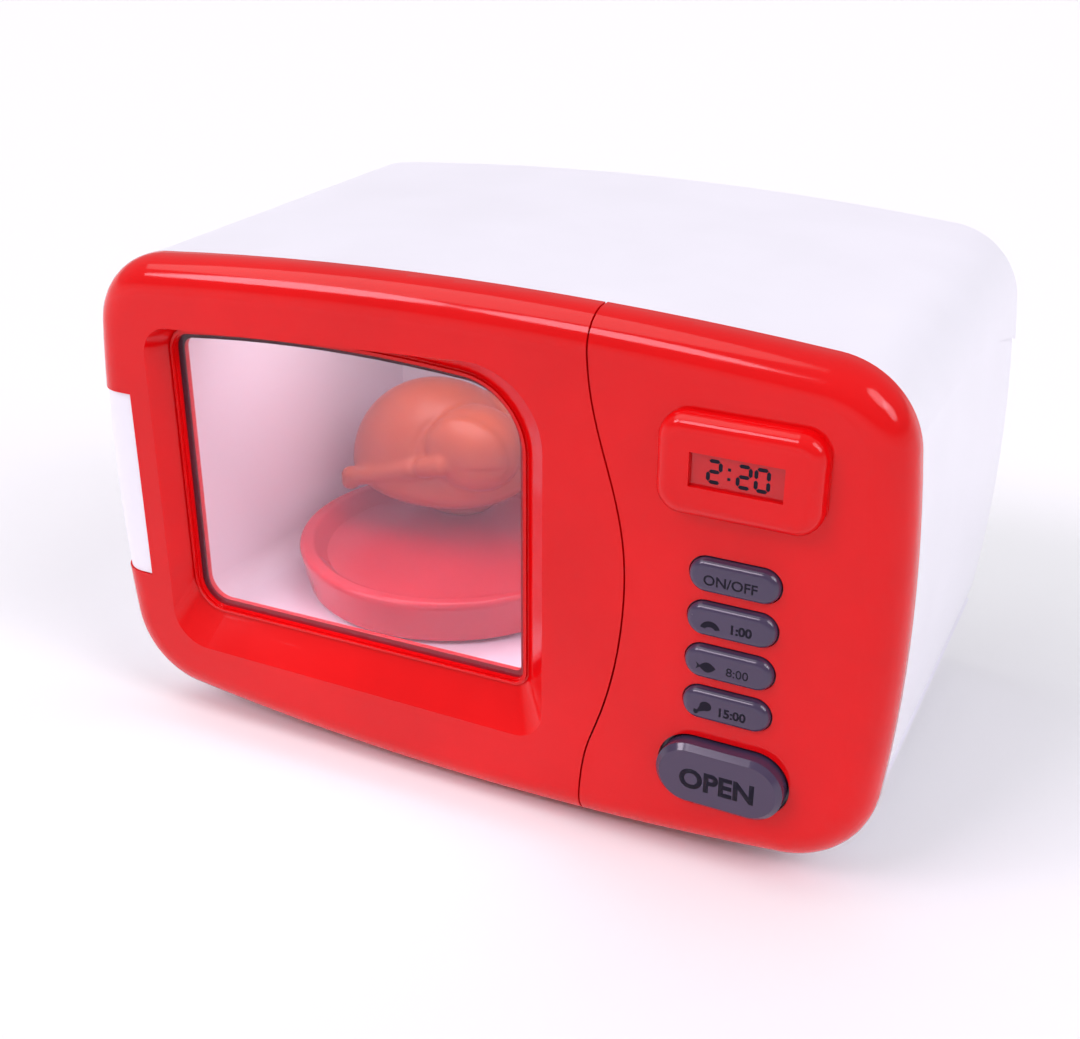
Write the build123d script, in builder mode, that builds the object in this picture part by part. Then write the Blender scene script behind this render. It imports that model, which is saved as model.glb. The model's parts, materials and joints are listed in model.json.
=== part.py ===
from build123d import *
import math
import os

os.makedirs("parts", exist_ok=True)

# Toy microwave with a swinging door, an OPEN button that draws the latch, four pill buttons,
# a geared turntable and a battery bay. Millimetres. +X is to the right, +Y to the back, +Z up.
# The origin lies on the table, under the middle of the whole. Depths below are measured
# backwards from the flat of the red front, heights from the middle of that front.

# Red front: a crowned outline with four bulging sides
face_width = 280.0
face_height = 172.0
side_crown = 6.0
top_crown = 7.2
bottom_crown = 9.4
widest_height = 2.2
top_corner_radius = 27.0
bottom_corner_radius = 30.0
bezel_depth = 13.5
edge_radius = 11.0
shell_wall = 2.2

# White body
body_length = 148.9
body_wall = 3.0
body_step = 0.5
rear_narrowing = 2.4
rear_rise = 2.2
rear_edge_radius = 1.4
foot_drop = 1.6
recess_depth = 1.2
crease_drop = 26.0
crease_rise = 26.0
crease_bend_depth = 88.0
crease_mid_fall = 6.2
crease_rear_fall = 16.2

# Fits
seam_gap = 0.6
door_gap = 0.3
seat_gap = 0.25
button_clearance = 0.4
shaft_clearance = 0.05
overrun = 1.0

# Seam between door and control panel, as shares of its bulge and of half the face's height
control_width = 95.0
seam_bulge = 13.2
seam_shares = [
    (0.0, 1.2), (0.0, 0.82), (0.085, 0.72), (0.40, 0.53), (0.80, 0.315), (0.985, 0.12),
    (0.985, -0.04), (0.79, -0.30), (0.40, -0.53), (0.12, -0.665), (0.0, -0.79), (0.0, -1.2),
]

# Window recess: its outline in the flat front, from the door's edges, and the slopes down to the pane
recess_side_margin = 25.2
recess_seam_margin = 13.8
recess_low_margin = 27.2
recess_left_margin = 27.2
recess_right_margin = 19.0
recess_radii = {"top_left": 11.0, "top_right": 25.0, "low_right": 10.0, "low_left": 13.0}
slope_left = 6.4
slope_right = 10.6
slope_low_left = 13.2
slope_low_right = 15.2
slope_top_left = 4.0
slope_top_right = 11.4
pane_crown = 3.4
pane_crown_shift = 7.9
pane_radii = {"top_left": 6.0, "top_right": 22.0, "low_right": 4.0, "low_left": 10.0}
funnel_wall = 2.0
lip_width = 2.0
lip_thickness = 1.6
ridge_width = 0.9
ridge_height = 0.8
pane_thickness = 1.5
pane_overlap = 3.0

# Hinge in the door's left edge
boss_reach = 12.3
boss_inset = 0.7
notch_top = 33.7
notch_bottom = -34.5
hinge_wall = 3.0
hinge_lug = 9.0
pin_radius = 1.5
pin_half_length = 7.5

# Door liner, catch and door screws
liner_plate = 1.9
liner_margin = 4.0
door_screw_side = 22.8
door_screw_seam = 11.0
door_screw_drop = 14.0
door_screw_rise = 15.0
screw_boss_radius = 3.3
screw_shank_radius = 1.2
screw_head_radius = 2.5
screw_head_height = 1.3
screw_length = 8.0
short_screw_length = 4.5
catch_seam_margin = 7.0
catch_height = -53.0
catch_thickness = 2.5
catch_tall = 8.0
catch_reach = 9.8
catch_slot_drop = 6.5
barb_depth = 2.7
barb_width = 2.5

# Control panel: display, pill buttons, OPEN button
control_margin = 48.0
display_height = 47.9
display_width = 48.4
display_tall = 30.4
display_corner = 8.0
display_proud = 6.0
display_edge_radius = 4.6
display_window_width = 27.2
display_window_tall = 10.2
display_sill = 1.4
lens_margin = 1.4
lens_thickness = 1.5
pocket_width = 32.0
pocket_tall = 15.0
pill_width = 27.2
pill_tall = 10.6
pill_proud = 2.6
pill_edge_radius = 2.4
pill_top_height = 14.3
pill_pitch = 14.15
pill_names = ["on_off_button", "one_minute_button", "eight_minute_button", "fifteen_minute_button"]
pill_flange = 1.3
flange_thickness = 1.4
pill_stem_radius = 2.0
pill_stem_length = 0.9
pill_travel = 1.5
open_width = 40.0
open_tall = 20.8
open_height = -52.0
open_proud = 5.4
open_bevel = 1.6
open_hole_clearance = 0.9
open_flange = 1.6
open_travel = 4.0
spring_reach_x = 13.5
spring_radius = 3.0
spring_wire = 0.4
spring_pitch = 2.4

# Latch: the wedge on the OPEN button moves the slide by ramp_ratio of its own travel
ramp_ratio = 0.75
wedge_shift = 4.0
wedge_width = 7.0
wedge_tall = 5.4
wedge_tip_depth = 20.6
slide_tall = 11.0
slide_thickness = 3.1
slide_gap = 0.3
slide_reach = 10.0
tongue_tall = 6.4
tongue_length = 12.0
rail_width = 2.2
rail_lip = 1.5
rail_seam_margin = 9.0
rail_length = 20.0
lug_reach = 20.4
lug_thickness = 2.4
latch_spring_radius = 1.2

# Front frame openings
frame_thickness = 3.0
panel_window_width = 44.0
panel_window_top = 64.0
panel_window_bottom = -38.0
panel_window_corner = 4.0
panel_screw_seam = 14.5
panel_screw_side = 18.0
panel_screw_drop = 13.0
panel_screw_rise = 15.0
panel_screw_reach = 32.0

# Oven cavity
cavity_side_margin = 25.0
cavity_seam_margin = 20.0
cavity_rise = 33.5
cavity_drop = 22.5
cavity_rear_room = 9.0
cavity_corner = 8.0
cavity_draft = 9.0
cavity_wall = 2.0
cavity_flange = 8.0
liner_screw_rise = 38.0

# Turntable and chicken
dish_shift_x = 0.2
dish_shift_depth = 0.95
dish_side_room = 12.0
dish_end_room = 6.75
dish_flare = 3.0
dish_tall = 16.0
dish_floor = 10.6
dish_wall = 2.4
dish_rim = 5.0
dish_lift = 1.9
hub_radius = 7.0
spindle_radius = 4.0

# Toy roast chicken. Places are right, back and up from the dish's floor, and they, the sizes of the
# body and its two thighs and the bones' runs from knee to end are shares of the dish's radius.
lobe_shares = [
    ((-0.33, 0.41, 0.44), 1.138, 1.0),
    ((0.0, 0.2, 0.672), 0.655, 0.586),
    ((0.0, 0.62, 0.62), 0.655, 0.56),
]
bone_shares = [((-0.159, 0.012, 0.552), (-0.741, 0.052, -0.293)), ((-0.14, 0.74, 0.52), (-0.54, -0.09, -0.2))]
knee_share = 0.097
shin_share = 0.074
shin_end_share = 0.064
bone_end_share = 0.079
ring_angles = [9, 22, 36, 50, 65, 80, 90, 100, 115, 130, 144, 158, 171]
chicken_wall = 1.8

# Gear train: pressure angle in degrees, tooth counts and module
gear_module = 0.8
pressure_angle = 25.0
addendum_share = 0.8
dedendum_share = 1.05
backlash = 0.16
flank_steps = 5
drive_teeth = 60
idler_teeth = 48
pinion_teeth = 10
drive_gear_drop = 4.2
drive_gear_width = 4.2
idler_drop = 4.4
idler_wheel_drop = 10.2
idler_wheel_width = 3.2
tray_drop = 14.7
tray_thickness = 2.0
axle_radius = 1.0
axle_boss_radius = 2.2
journal_radius = 2.5
idler_axle_reach = 2.0
motor_shaft_reach = 5.0
motor_radius = 12.2
motor_height = 11.6
post_radius = 3.4
tray_side_reach = 25.0
tray_front_reach = 22.0
tray_rear_reach = 50.0

# Corner columns, screws and rear cover
top_column_side = 15.6
top_column_drop = 17.6
low_column_side = 17.8
low_column_rise = 19.8
column_radius = 5.2
cover_thickness = 3.0
cover_recess = 4.4
cover_gap = 0.3

# Battery bay in the rear cover
bay_margin = 51.5
bay_height = -18.0
cell_radius = 7.2
cell_length = 50.0
cell_pitch = 15.4
cell_count = 3
contact_space = 4.0
bay_wall = 2.0
cell_nub = 1.0
cell_nub_radius = 2.8
contact_width = 11.0
contact_thickness = 0.5
hatch_margin = 1.5
hatch_corner = 3.0
hatch_thickness = 2.0
hatch_screw_reach = 5.0

# Speaker, lamp, board, feet
speaker_height = 44.0
speaker_radius = 18.0
speaker_depth = 8.0
speaker_flange = 3.0
grille_hole_radius = 1.3
grille_ring_step = 4.6
lamp_depth = 42.0
lamp_radius = 7.0
lamp_flange = 2.0
lamp_flange_thickness = 1.2
led_radius = 2.5
led_height = 6.0
board_thickness = 1.6
board_depth = 8.4
board_width = 46.6
board_top = 59.0
board_bottom = -36.0
board_screw_reach = 19.9
board_screw_high = 26.0
board_screw_low = -33.0
foot_radius = 8.5
foot_side_margin = 42.0
foot_front_depth = 34.0
foot_rear_margin = 16.4

# Places that follow from the sizes above
overall_depth = bezel_depth + body_length
front_y = -(display_proud + overall_depth) / 2 + display_proud
face_mid = foot_drop + face_height / 2
face_top = face_height / 2
face_side = face_width / 2
crease_height = face_top - crease_drop
seam_x = face_side - control_width
control_x = face_side - control_margin
hinge_depth = bezel_depth / 2
hinge_inset = hinge_depth - door_gap
hinge_x = hinge_inset - face_side
hinge_axis = (hinge_x, front_y + hinge_depth)
notch_radius = boss_reach + door_gap
frame_back = bezel_depth + frame_thickness
door_back = bezel_depth - door_gap
liner_front = door_back - liner_plate
lip_depth = liner_front - pane_thickness
funnel_depth = lip_depth - lip_thickness
cover_back = overall_depth - cover_recess
cover_front = cover_back - cover_thickness
recess_left = recess_side_margin - face_side
recess_right = seam_x - recess_seam_margin
recess_low = recess_low_margin - face_top
recess_left_top = face_top - recess_left_margin
recess_right_top = face_top - recess_right_margin
pane_left = recess_left + slope_left
pane_right = recess_right - slope_right
pane_low_left = recess_low + slope_low_left
pane_low_right = recess_low + slope_low_right
pane_left_top = recess_left_top - slope_top_left
pane_right_top = recess_right_top - slope_top_right
pane_crown_x = (pane_left + pane_right) / 2 + pane_crown_shift
pane_crown_top = pane_right_top + pane_crown
catch_x = seam_x - catch_seam_margin
cavity_left = cavity_side_margin - face_side
cavity_right = seam_x - cavity_seam_margin
cavity_width = cavity_right - cavity_left
cavity_middle = (cavity_left + cavity_right) / 2
cavity_floor = cavity_rise - face_top
cavity_ceiling = face_top - cavity_drop
cavity_rear_depth = cover_front - cavity_rear_room
dish_x = cavity_middle + dish_shift_x
dish_depth = (frame_back + cavity_rear_depth) / 2 - dish_shift_depth
dish_radius = min(cavity_width / 2 - dish_side_room, (cavity_rear_depth - frame_back) / 2 - dish_end_room)
drive_gear_top = cavity_floor - drive_gear_drop
idler_top = cavity_floor - idler_drop
idler_wheel_top = cavity_floor - idler_wheel_drop
tray_top = cavity_floor - tray_drop
bay_x = face_side - bay_margin
recess_middle = (recess_left + recess_right) / 2
door_screw_spots = [(x, z) for z in (face_top - door_screw_drop, door_screw_rise - face_top)
                    for x in (recess_left + door_screw_side, recess_middle, seam_x - door_screw_seam)]
panel_screw_spots = [(seam_x + panel_screw_seam, face_top - panel_screw_drop),
                     (face_side - panel_screw_side, panel_screw_reach),
                     (face_side - panel_screw_side, -panel_screw_reach),
                     (seam_x + panel_screw_seam, panel_screw_rise - face_top)]
board_screw_spots = [(control_x + side * board_screw_reach, z) for side in (-1, 1)
                     for z in (board_screw_high, board_screw_low)]
column_spots = [(side * (face_side - inset), z) for side in (-1, 1)
                for inset, z in ((top_column_side, face_top - top_column_drop),
                                 (low_column_side, low_column_rise - face_top))]


def face_plane(depth):
    """Plane that faces the viewer at a depth behind the flat front, centred on the face."""
    return Plane(origin=(0, front_y + depth, face_mid), x_dir=(1, 0, 0), z_dir=(0, -1, 0))


def level_plane(height):
    """Level plane at a height above the middle of the face."""
    return Plane.XY.offset(face_mid + height)


def back_spot(spot, depth):
    """Plane at a place of the face, with its normal towards the back."""
    return Plane(origin=(spot[0], front_y + depth, face_mid + spot[1]), x_dir=(-1, 0, 0), z_dir=(0, 1, 0))


def under_spot(spot, height):
    """Plane at a place of the floor (x and depth), with its normal downwards."""
    return Plane(origin=(spot[0], front_y + spot[1], face_mid + height), x_dir=(1, 0, 0), z_dir=(0, 0, -1))


def front_spot(spot, depth):
    """Plane at a place of the face, with its normal towards the front."""
    return Plane(origin=(spot[0], front_y + depth, face_mid + spot[1]), x_dir=(1, 0, 0), z_dir=(0, -1, 0))


def grow_sketch(amount):
    """Offsets the current sketch, and redraws every curve of it as a true line or arc."""
    offset(amount=amount)
    curves = [edge if edge.geom_type == GeomType.LINE
              else Edge.make_three_point_arc(edge @ 0, edge @ 0.5, edge @ 1)
              for edge in edges()]
    make_face(curves, mode=Mode.REPLACE)


def crowned_outline(width, top, inset):
    """Draws the bulging outline with its round corners, drawn in by inset on all sides."""
    side = width / 2
    corner_x = side - side_crown
    high = top - top_crown
    low = -face_top + bottom_crown
    with BuildLine() as border:
        ThreePointArc((-corner_x, high), (0, top), (corner_x, high))
        ThreePointArc((corner_x, high), (side, widest_height), (corner_x, low))
        ThreePointArc((corner_x, low), (0, -face_top), (-corner_x, low))
        ThreePointArc((-corner_x, low), (-side, widest_height), (-corner_x, high))
    make_face(border.edges())
    fillet(vertices().group_by(Axis.Y)[-1], top_corner_radius)
    fillet(vertices().group_by(Axis.Y)[0], bottom_corner_radius)
    if inset:
        grow_sketch(-inset)


def body_outline(depth, inset):
    """Draws the white body's section at a depth: it narrows and rises a little to the back."""
    share = (depth - bezel_depth) / body_length
    crowned_outline(face_width - share * rear_narrowing, face_top + share * rear_rise, body_step + inset)


def seam_region(shift, side):
    """Draws all that lies to one side of the door seam, the seam being moved over by shift."""
    points = [(seam_x + seam_bulge * bulge + shift, face_top * height) for bulge, height in seam_shares]
    far = side * face_width
    with BuildLine() as border:
        seam = Spline(*points, tangents=[(0, -1), (0, -1)])
        Polyline(seam @ 1, (far, (seam @ 1).Y), (far, (seam @ 0).Y), seam @ 0)
    make_face(border.edges())


def window_outline(grow):
    """Draws the pane's visible outline, grown by a margin."""
    with BuildLine() as border:
        Line((pane_left, pane_left_top), (pane_left, pane_low_left))
        Line((pane_left, pane_low_left), (pane_right, pane_low_right))
        Line((pane_right, pane_low_right), (pane_right, pane_right_top))
        ThreePointArc((pane_right, pane_right_top), (pane_crown_x, pane_crown_top),
                      (pane_left, pane_left_top))
    make_face(border.edges())
    round_corners(pane_radii)
    if grow:
        grow_sketch(grow)


def recess_outline(grow):
    """Draws the window recess where it meets the flat front, grown by a margin."""
    with BuildLine() as border:
        Line((recess_left, recess_left_top), (recess_left, recess_low))
        Line((recess_left, recess_low), (recess_right, recess_low))
        Line((recess_right, recess_low), (recess_right, recess_right_top))
        Line((recess_right, recess_right_top), (recess_left, recess_left_top))
    make_face(border.edges())
    round_corners(recess_radii)
    if grow:
        grow_sketch(grow)


def round_corners(radii):
    """Rounds a four-cornered sketch, each corner by its own radius."""
    for name, radius in radii.items():
        high = 1 if name.startswith("top") else -1
        right = 1 if name.endswith("right") else -1
        corner = max(vertices(), key=lambda spot: right * spot.X + high * spot.Y)
        fillet(corner, radius)


def drill(planes, radius, depth):
    """Cuts round holes down from each plane into the current part."""
    with Locations(*planes):
        Cylinder(radius, depth, align=(Align.CENTER, Align.CENTER, Align.MAX), mode=Mode.SUBTRACT)


def countersink(planes, play):
    """Cuts a countersunk screw's seat and clearance hole down from each plane."""
    with Locations(*planes):
        Cone(screw_shank_radius + play, screw_head_radius + play, screw_head_height,
             align=(Align.CENTER, Align.CENTER, Align.MAX), mode=Mode.SUBTRACT)
        Cylinder(screw_shank_radius + play, screw_length,
                 align=(Align.CENTER, Align.CENTER, Align.MAX), mode=Mode.SUBTRACT)


def countersunk_screws(planes):
    """Adds one countersunk screw at each plane, its head flush with the plane."""
    with Locations(*planes):
        Cone(screw_shank_radius, screw_head_radius, screw_head_height,
             align=(Align.CENTER, Align.CENTER, Align.MAX))
        Cylinder(screw_shank_radius, screw_length - seat_gap, align=(Align.CENTER, Align.CENTER, Align.MAX))


def stud(planes, radius, length):
    """Adds a round post down from each plane."""
    with Locations(*planes):
        Cylinder(radius, length, align=(Align.CENTER, Align.CENTER, Align.MAX))


def pan_screws(planes, length):
    """Adds one pan-head screw at each plane, the underside of its head on the plane."""
    with Locations(*planes):
        Cylinder(screw_head_radius, screw_head_height, align=(Align.CENTER, Align.CENTER, Align.MIN))
        Cylinder(screw_shank_radius, length, align=(Align.CENTER, Align.CENTER, Align.MAX))


# Forms shared by several pieces

with BuildPart() as face_blank:
    with BuildSketch(face_plane(bezel_depth)):
        crowned_outline(face_width, face_top, 0)
    extrude(amount=bezel_depth)
    fillet(face_blank.faces().sort_by(Axis.Y)[0].edges(), edge_radius)

with BuildPart() as face_hollow:
    with BuildSketch(face_plane(bezel_depth + overrun)):
        crowned_outline(face_width, face_top, shell_wall)
    extrude(amount=bezel_depth + overrun - shell_wall)
    fillet(face_hollow.faces().sort_by(Axis.Y)[0].edges(), edge_radius - shell_wall)

with BuildPart() as body_form:
    with BuildSketch(face_plane(bezel_depth)):
        body_outline(bezel_depth, 0)
    with BuildSketch(face_plane(overall_depth)):
        body_outline(overall_depth, 0)
    loft()
    fillet(body_form.faces().sort_by(Axis.Y)[-1].edges(), rear_edge_radius)

with BuildPart() as body_inside:
    with BuildSketch(face_plane(bezel_depth)):
        body_outline(bezel_depth, body_wall)
    with BuildSketch(face_plane(overall_depth)):
        body_outline(overall_depth, body_wall)
    loft()

with BuildPart() as side_recess:
    with BuildSketch(Plane.YZ.offset(-face_width)):
        with BuildLine():
            front_edge = front_y + bezel_depth - overrun
            rear_edge = front_y + overall_depth + overrun
            middle = front_y + (crease_bend_depth + overall_depth) / 2
            low = face_mid + crease_rise - face_top
            bend = (front_y + crease_bend_depth, face_mid + crease_height)
            rear = (rear_edge, face_mid + crease_height - crease_rear_fall)
            Polyline(rear, (rear_edge, low), (front_edge, low), (front_edge, bend[1]), bend)
            ThreePointArc(bend, (middle, face_mid + crease_height - crease_mid_fall), rear)
        make_face()
    extrude(amount=2 * face_width)
    with BuildSketch(face_plane(bezel_depth - 2 * overrun)):
        body_outline(bezel_depth, recess_depth)
    with BuildSketch(face_plane(overall_depth + 2 * overrun)):
        body_outline(overall_depth, recess_depth)
    loft(mode=Mode.SUBTRACT)

# White housing: top, sides and bottom in one sleeve, with four screw columns in its corners

with BuildPart() as housing:
    add(body_form.part)
    add(body_inside.part, mode=Mode.SUBTRACT)
    add(side_recess.part, mode=Mode.SUBTRACT)
    stud([back_spot(spot, cover_front) for spot in column_spots], column_radius, cover_front - frame_back)
    drill([back_spot(spot, cover_front) for spot in column_spots], screw_shank_radius, screw_length)
    drill([front_spot(spot, frame_back) for spot in column_spots], screw_shank_radius, screw_length)
housing.part.label = "housing"
export_step(housing.part, "parts/housing.step")

# Door shell: sloped window recess, notch round the hinge boss, S-shaped free edge

with BuildPart() as door_hollow:
    add(face_hollow.part)
    with BuildSketch(face_plane(bezel_depth + overrun)):
        seam_region(-seam_gap / 2 - shell_wall, -1)
    extrude(amount=bezel_depth + overrun, mode=Mode.INTERSECT)
    with BuildSketch(level_plane(notch_bottom - hinge_lug)):
        with Locations(hinge_axis):
            Circle(notch_radius + hinge_wall)
    extrude(amount=notch_top - notch_bottom + 2 * hinge_lug, mode=Mode.SUBTRACT)

with BuildPart() as window_void:
    with BuildSketch(face_plane(0)):
        recess_outline(0)
    with BuildSketch(face_plane(funnel_depth)):
        window_outline(lip_width)
    loft()
    with BuildSketch(face_plane(0)):
        recess_outline(0)
    extrude(amount=overrun)
    with BuildSketch(face_plane(funnel_depth)):
        window_outline(0)
    extrude(amount=-lip_thickness - overrun)

with BuildPart() as window_ridge:
    with BuildSketch(face_plane(funnel_depth)):
        window_outline(lip_width / 2 + ridge_width / 2)
    extrude(amount=ridge_height)
    with BuildSketch(face_plane(funnel_depth)):
        window_outline(lip_width / 2 - ridge_width / 2)
    extrude(amount=ridge_height, mode=Mode.SUBTRACT)

# Space behind the hinge axis that the door's round edge keeps clear of
with BuildPart() as hinge_relief:
    with BuildSketch(level_plane(-face_height)):
        with Locations(hinge_axis):
            Rectangle(face_width, bezel_depth, align=(Align.MAX, Align.MIN))
            Circle(hinge_inset, mode=Mode.SUBTRACT)
    extrude(amount=2 * face_height)

with BuildPart() as door_shell:
    add(face_blank.part)
    add(door_hollow.part, mode=Mode.SUBTRACT)
    with BuildSketch(face_plane(0)):
        recess_outline(funnel_wall)
    with BuildSketch(face_plane(funnel_depth)):
        window_outline(lip_width + funnel_wall)
    loft()
    with BuildSketch(face_plane(funnel_depth)):
        window_outline(lip_width + funnel_wall)
    extrude(amount=-lip_thickness)
    stud([front_spot(spot, shell_wall) for spot in door_screw_spots], screw_boss_radius,
         liner_front - shell_wall)
    add(window_void.part, mode=Mode.SUBTRACT)
    add(window_ridge.part)
    with BuildSketch(face_plane(door_back)):
        seam_region(-seam_gap / 2, -1)
    extrude(amount=bezel_depth, mode=Mode.INTERSECT)
    with BuildSketch(level_plane(notch_bottom)):
        with Locations(hinge_axis):
            Circle(notch_radius)
    extrude(amount=notch_top - notch_bottom, mode=Mode.SUBTRACT)
    add(hinge_relief.part, mode=Mode.SUBTRACT)
    with BuildSketch(level_plane(notch_bottom - pin_half_length - seat_gap)):
        with Locations(hinge_axis):
            Circle(pin_radius + shaft_clearance)
    extrude(amount=notch_top - notch_bottom + 2 * (pin_half_length + seat_gap), mode=Mode.SUBTRACT)
    drill([back_spot(spot, liner_front) for spot in door_screw_spots], screw_shank_radius,
          screw_length - liner_plate)
door_shell.part.label = "door_shell"
export_step(door_shell.part, "parts/door_shell.step")

# Clear pane, clamped between the door shell's lip and the door liner

with BuildPart() as door_window:
    with BuildSketch(face_plane(lip_depth)):
        window_outline(pane_overlap)
    extrude(amount=-pane_thickness)
door_window.part.label = "door_window"
export_step(door_window.part, "parts/door_window.step")

# Door liner with the moulded catch that the latch holds

with BuildPart() as door_liner:
    with BuildSketch(face_plane(door_back)):
        crowned_outline(face_width, face_top, shell_wall + seat_gap)
    extrude(amount=liner_plate)
    with BuildSketch(face_plane(door_back + overrun)):
        seam_region(-seam_gap / 2 - shell_wall - seat_gap, -1)
    extrude(amount=liner_plate + 2 * overrun, mode=Mode.INTERSECT)
    with BuildSketch(face_plane(door_back + overrun)):
        window_outline(-liner_margin / 2)
    extrude(amount=liner_plate + 2 * overrun, mode=Mode.SUBTRACT)
    with BuildSketch(level_plane(notch_bottom - hinge_lug - seat_gap)):
        with Locations(hinge_axis):
            Circle(notch_radius + hinge_wall + seat_gap)
    extrude(amount=notch_top - notch_bottom + 2 * (hinge_lug + seat_gap), mode=Mode.SUBTRACT)
    add(hinge_relief.part, mode=Mode.SUBTRACT)
    countersink([back_spot(spot, door_back) for spot in door_screw_spots], seat_gap / 2)
    with BuildSketch(Plane.XY.offset(face_mid + catch_height - catch_tall / 2)):
        with BuildLine():
            root = front_y + door_back
            end = root + catch_reach
            tip_x = catch_x + catch_thickness + barb_width
            blade_x = catch_x + catch_thickness
            Polyline((catch_x, root - liner_plate), (blade_x, root - liner_plate),
                     (blade_x, end - barb_depth),
                     (tip_x, end - barb_depth), (tip_x, end - barb_depth / 2), (blade_x, end), (catch_x, end),
                     close=True)
        make_face()
    extrude(amount=catch_tall)
door_liner.part.label = "door_liner"
export_step(door_liner.part, "parts/door_liner.step")

with BuildPart() as door_screws:
    countersunk_screws([back_spot(spot, door_back) for spot in door_screw_spots])
door_screws.part.label = "door_screws"
export_step(door_screws.part, "parts/door_screws.step")

# Front frame: carries the hinge boss, the latch's rails, the liner and the control panel

with BuildPart() as hinge_boss:
    with BuildSketch(face_plane(bezel_depth)):
        crowned_outline(face_width, face_top, boss_inset)
    extrude(amount=bezel_depth - boss_inset)
    fillet(hinge_boss.faces().sort_by(Axis.Y)[0].edges(), edge_radius - boss_inset)
    with BuildSketch(level_plane(notch_bottom + door_gap)):
        with Locations(hinge_axis):
            Circle(boss_reach)
    extrude(amount=notch_top - notch_bottom - 2 * door_gap, mode=Mode.INTERSECT)

wedge_x = control_x - wedge_shift
wedge_slot_width = wedge_width + 2 * seam_gap
rail_left = seam_x + rail_seam_margin
lug_x = control_x + lug_reach
slide_right = control_x + slide_reach
slide_left = catch_x + catch_thickness + seam_gap
slide_front = frame_back + slide_gap
slide_back = slide_front + slide_thickness
rail_reach = slide_back + slide_gap + rail_lip - frame_back
liner_screw_x = cavity_width / 2 + cavity_wall + screw_head_radius + seam_gap
liner_screw_spots = [(cavity_middle + side * liner_screw_x, half * liner_screw_rise) for side in (-1, 1)
                     for half in (-1, 1)]
with BuildPart() as front_frame:
    with BuildSketch(face_plane(bezel_depth)):
        body_outline(bezel_depth, body_wall + seat_gap)
        with Locations((cavity_middle, (cavity_floor + cavity_ceiling) / 2)):
            RectangleRounded(cavity_width, cavity_ceiling - cavity_floor, cavity_corner, mode=Mode.SUBTRACT)
        with Locations((control_x, (panel_window_top + panel_window_bottom) / 2)):
            RectangleRounded(panel_window_width, panel_window_top - panel_window_bottom, panel_window_corner,
                             mode=Mode.SUBTRACT)
        with Locations((catch_x + catch_thickness, catch_height + catch_tall / 2 + overrun)):
            Rectangle(2 * (catch_thickness + barb_width), catch_tall + 2 * overrun + catch_slot_drop,
                      align=(Align.CENTER, Align.MAX), mode=Mode.SUBTRACT)
        with Locations((wedge_x, catch_height)):
            Rectangle(wedge_slot_width, wedge_tall + 2 * seam_gap, mode=Mode.SUBTRACT)
    extrude(amount=-frame_thickness)
    add(hinge_boss.part)
    with BuildSketch(level_plane(notch_bottom - pin_half_length)):
        with Locations(hinge_axis):
            Circle(pin_radius)
    extrude(amount=notch_top - notch_bottom + 2 * pin_half_length, mode=Mode.SUBTRACT)
    for side in (-1, 1):
        rail_height = catch_height + side * (slide_tall / 2 + slide_gap + rail_width / 2)
        with BuildSketch(face_plane(frame_back)):
            with Locations((rail_left, rail_height)):
                Rectangle(rail_length, rail_width, align=(Align.MIN, Align.CENTER))
        extrude(amount=-rail_reach)
        with BuildSketch(face_plane(slide_back + slide_gap)):
            with Locations((rail_left, rail_height - side * rail_width / 2)):
                Rectangle(rail_length, rail_width, align=(Align.MIN, Align.CENTER))
        extrude(amount=-rail_lip)
    with BuildSketch(face_plane(frame_back)):
        with Locations((lug_x, catch_height)):
            Rectangle(lug_thickness, slide_tall, align=(Align.MIN, Align.CENTER))
    extrude(amount=-rail_reach)
    countersink([front_spot(spot, bezel_depth) for spot in column_spots], seat_gap / 2)
    drill([back_spot(spot, frame_back) for spot in panel_screw_spots], screw_shank_radius + seat_gap,
          frame_thickness)
    drill([back_spot(spot, frame_back) for spot in liner_screw_spots], screw_shank_radius,
          short_screw_length - cavity_wall)
front_frame.part.label = "front_frame"
export_step(front_frame.part, "parts/front_frame.step")

with BuildPart() as frame_screws:
    countersunk_screws([front_spot(spot, bezel_depth) for spot in column_spots])
frame_screws.part.label = "frame_screws"
export_step(frame_screws.part, "parts/frame_screws.step")

with BuildPart() as hinge_pins:
    for height in (notch_top, notch_bottom):
        with BuildSketch(level_plane(height - pin_half_length)):
            with Locations(hinge_axis):
                Circle(pin_radius)
        extrude(amount=2 * pin_half_length)
hinge_pins.part.label = "hinge_pins"
export_step(hinge_pins.part, "parts/hinge_pins.step")

# Control panel: raised display frame, four pill holes and the large hole of the OPEN button

pill_heights = [pill_top_height - pill_pitch * index for index in range(len(pill_names))]
with BuildPart() as panel_hollow:
    add(face_hollow.part)
    with BuildSketch(face_plane(bezel_depth + overrun)):
        seam_region(seam_gap / 2 + shell_wall, 1)
    extrude(amount=bezel_depth + overrun, mode=Mode.INTERSECT)

with BuildPart() as display_frame:
    with BuildSketch(face_plane(shell_wall)):
        with Locations((control_x, display_height)):
            RectangleRounded(display_width, display_tall, display_corner)
    extrude(amount=shell_wall + display_proud)
    fillet(display_frame.faces().sort_by(Axis.Y)[0].edges(), display_edge_radius)

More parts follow.
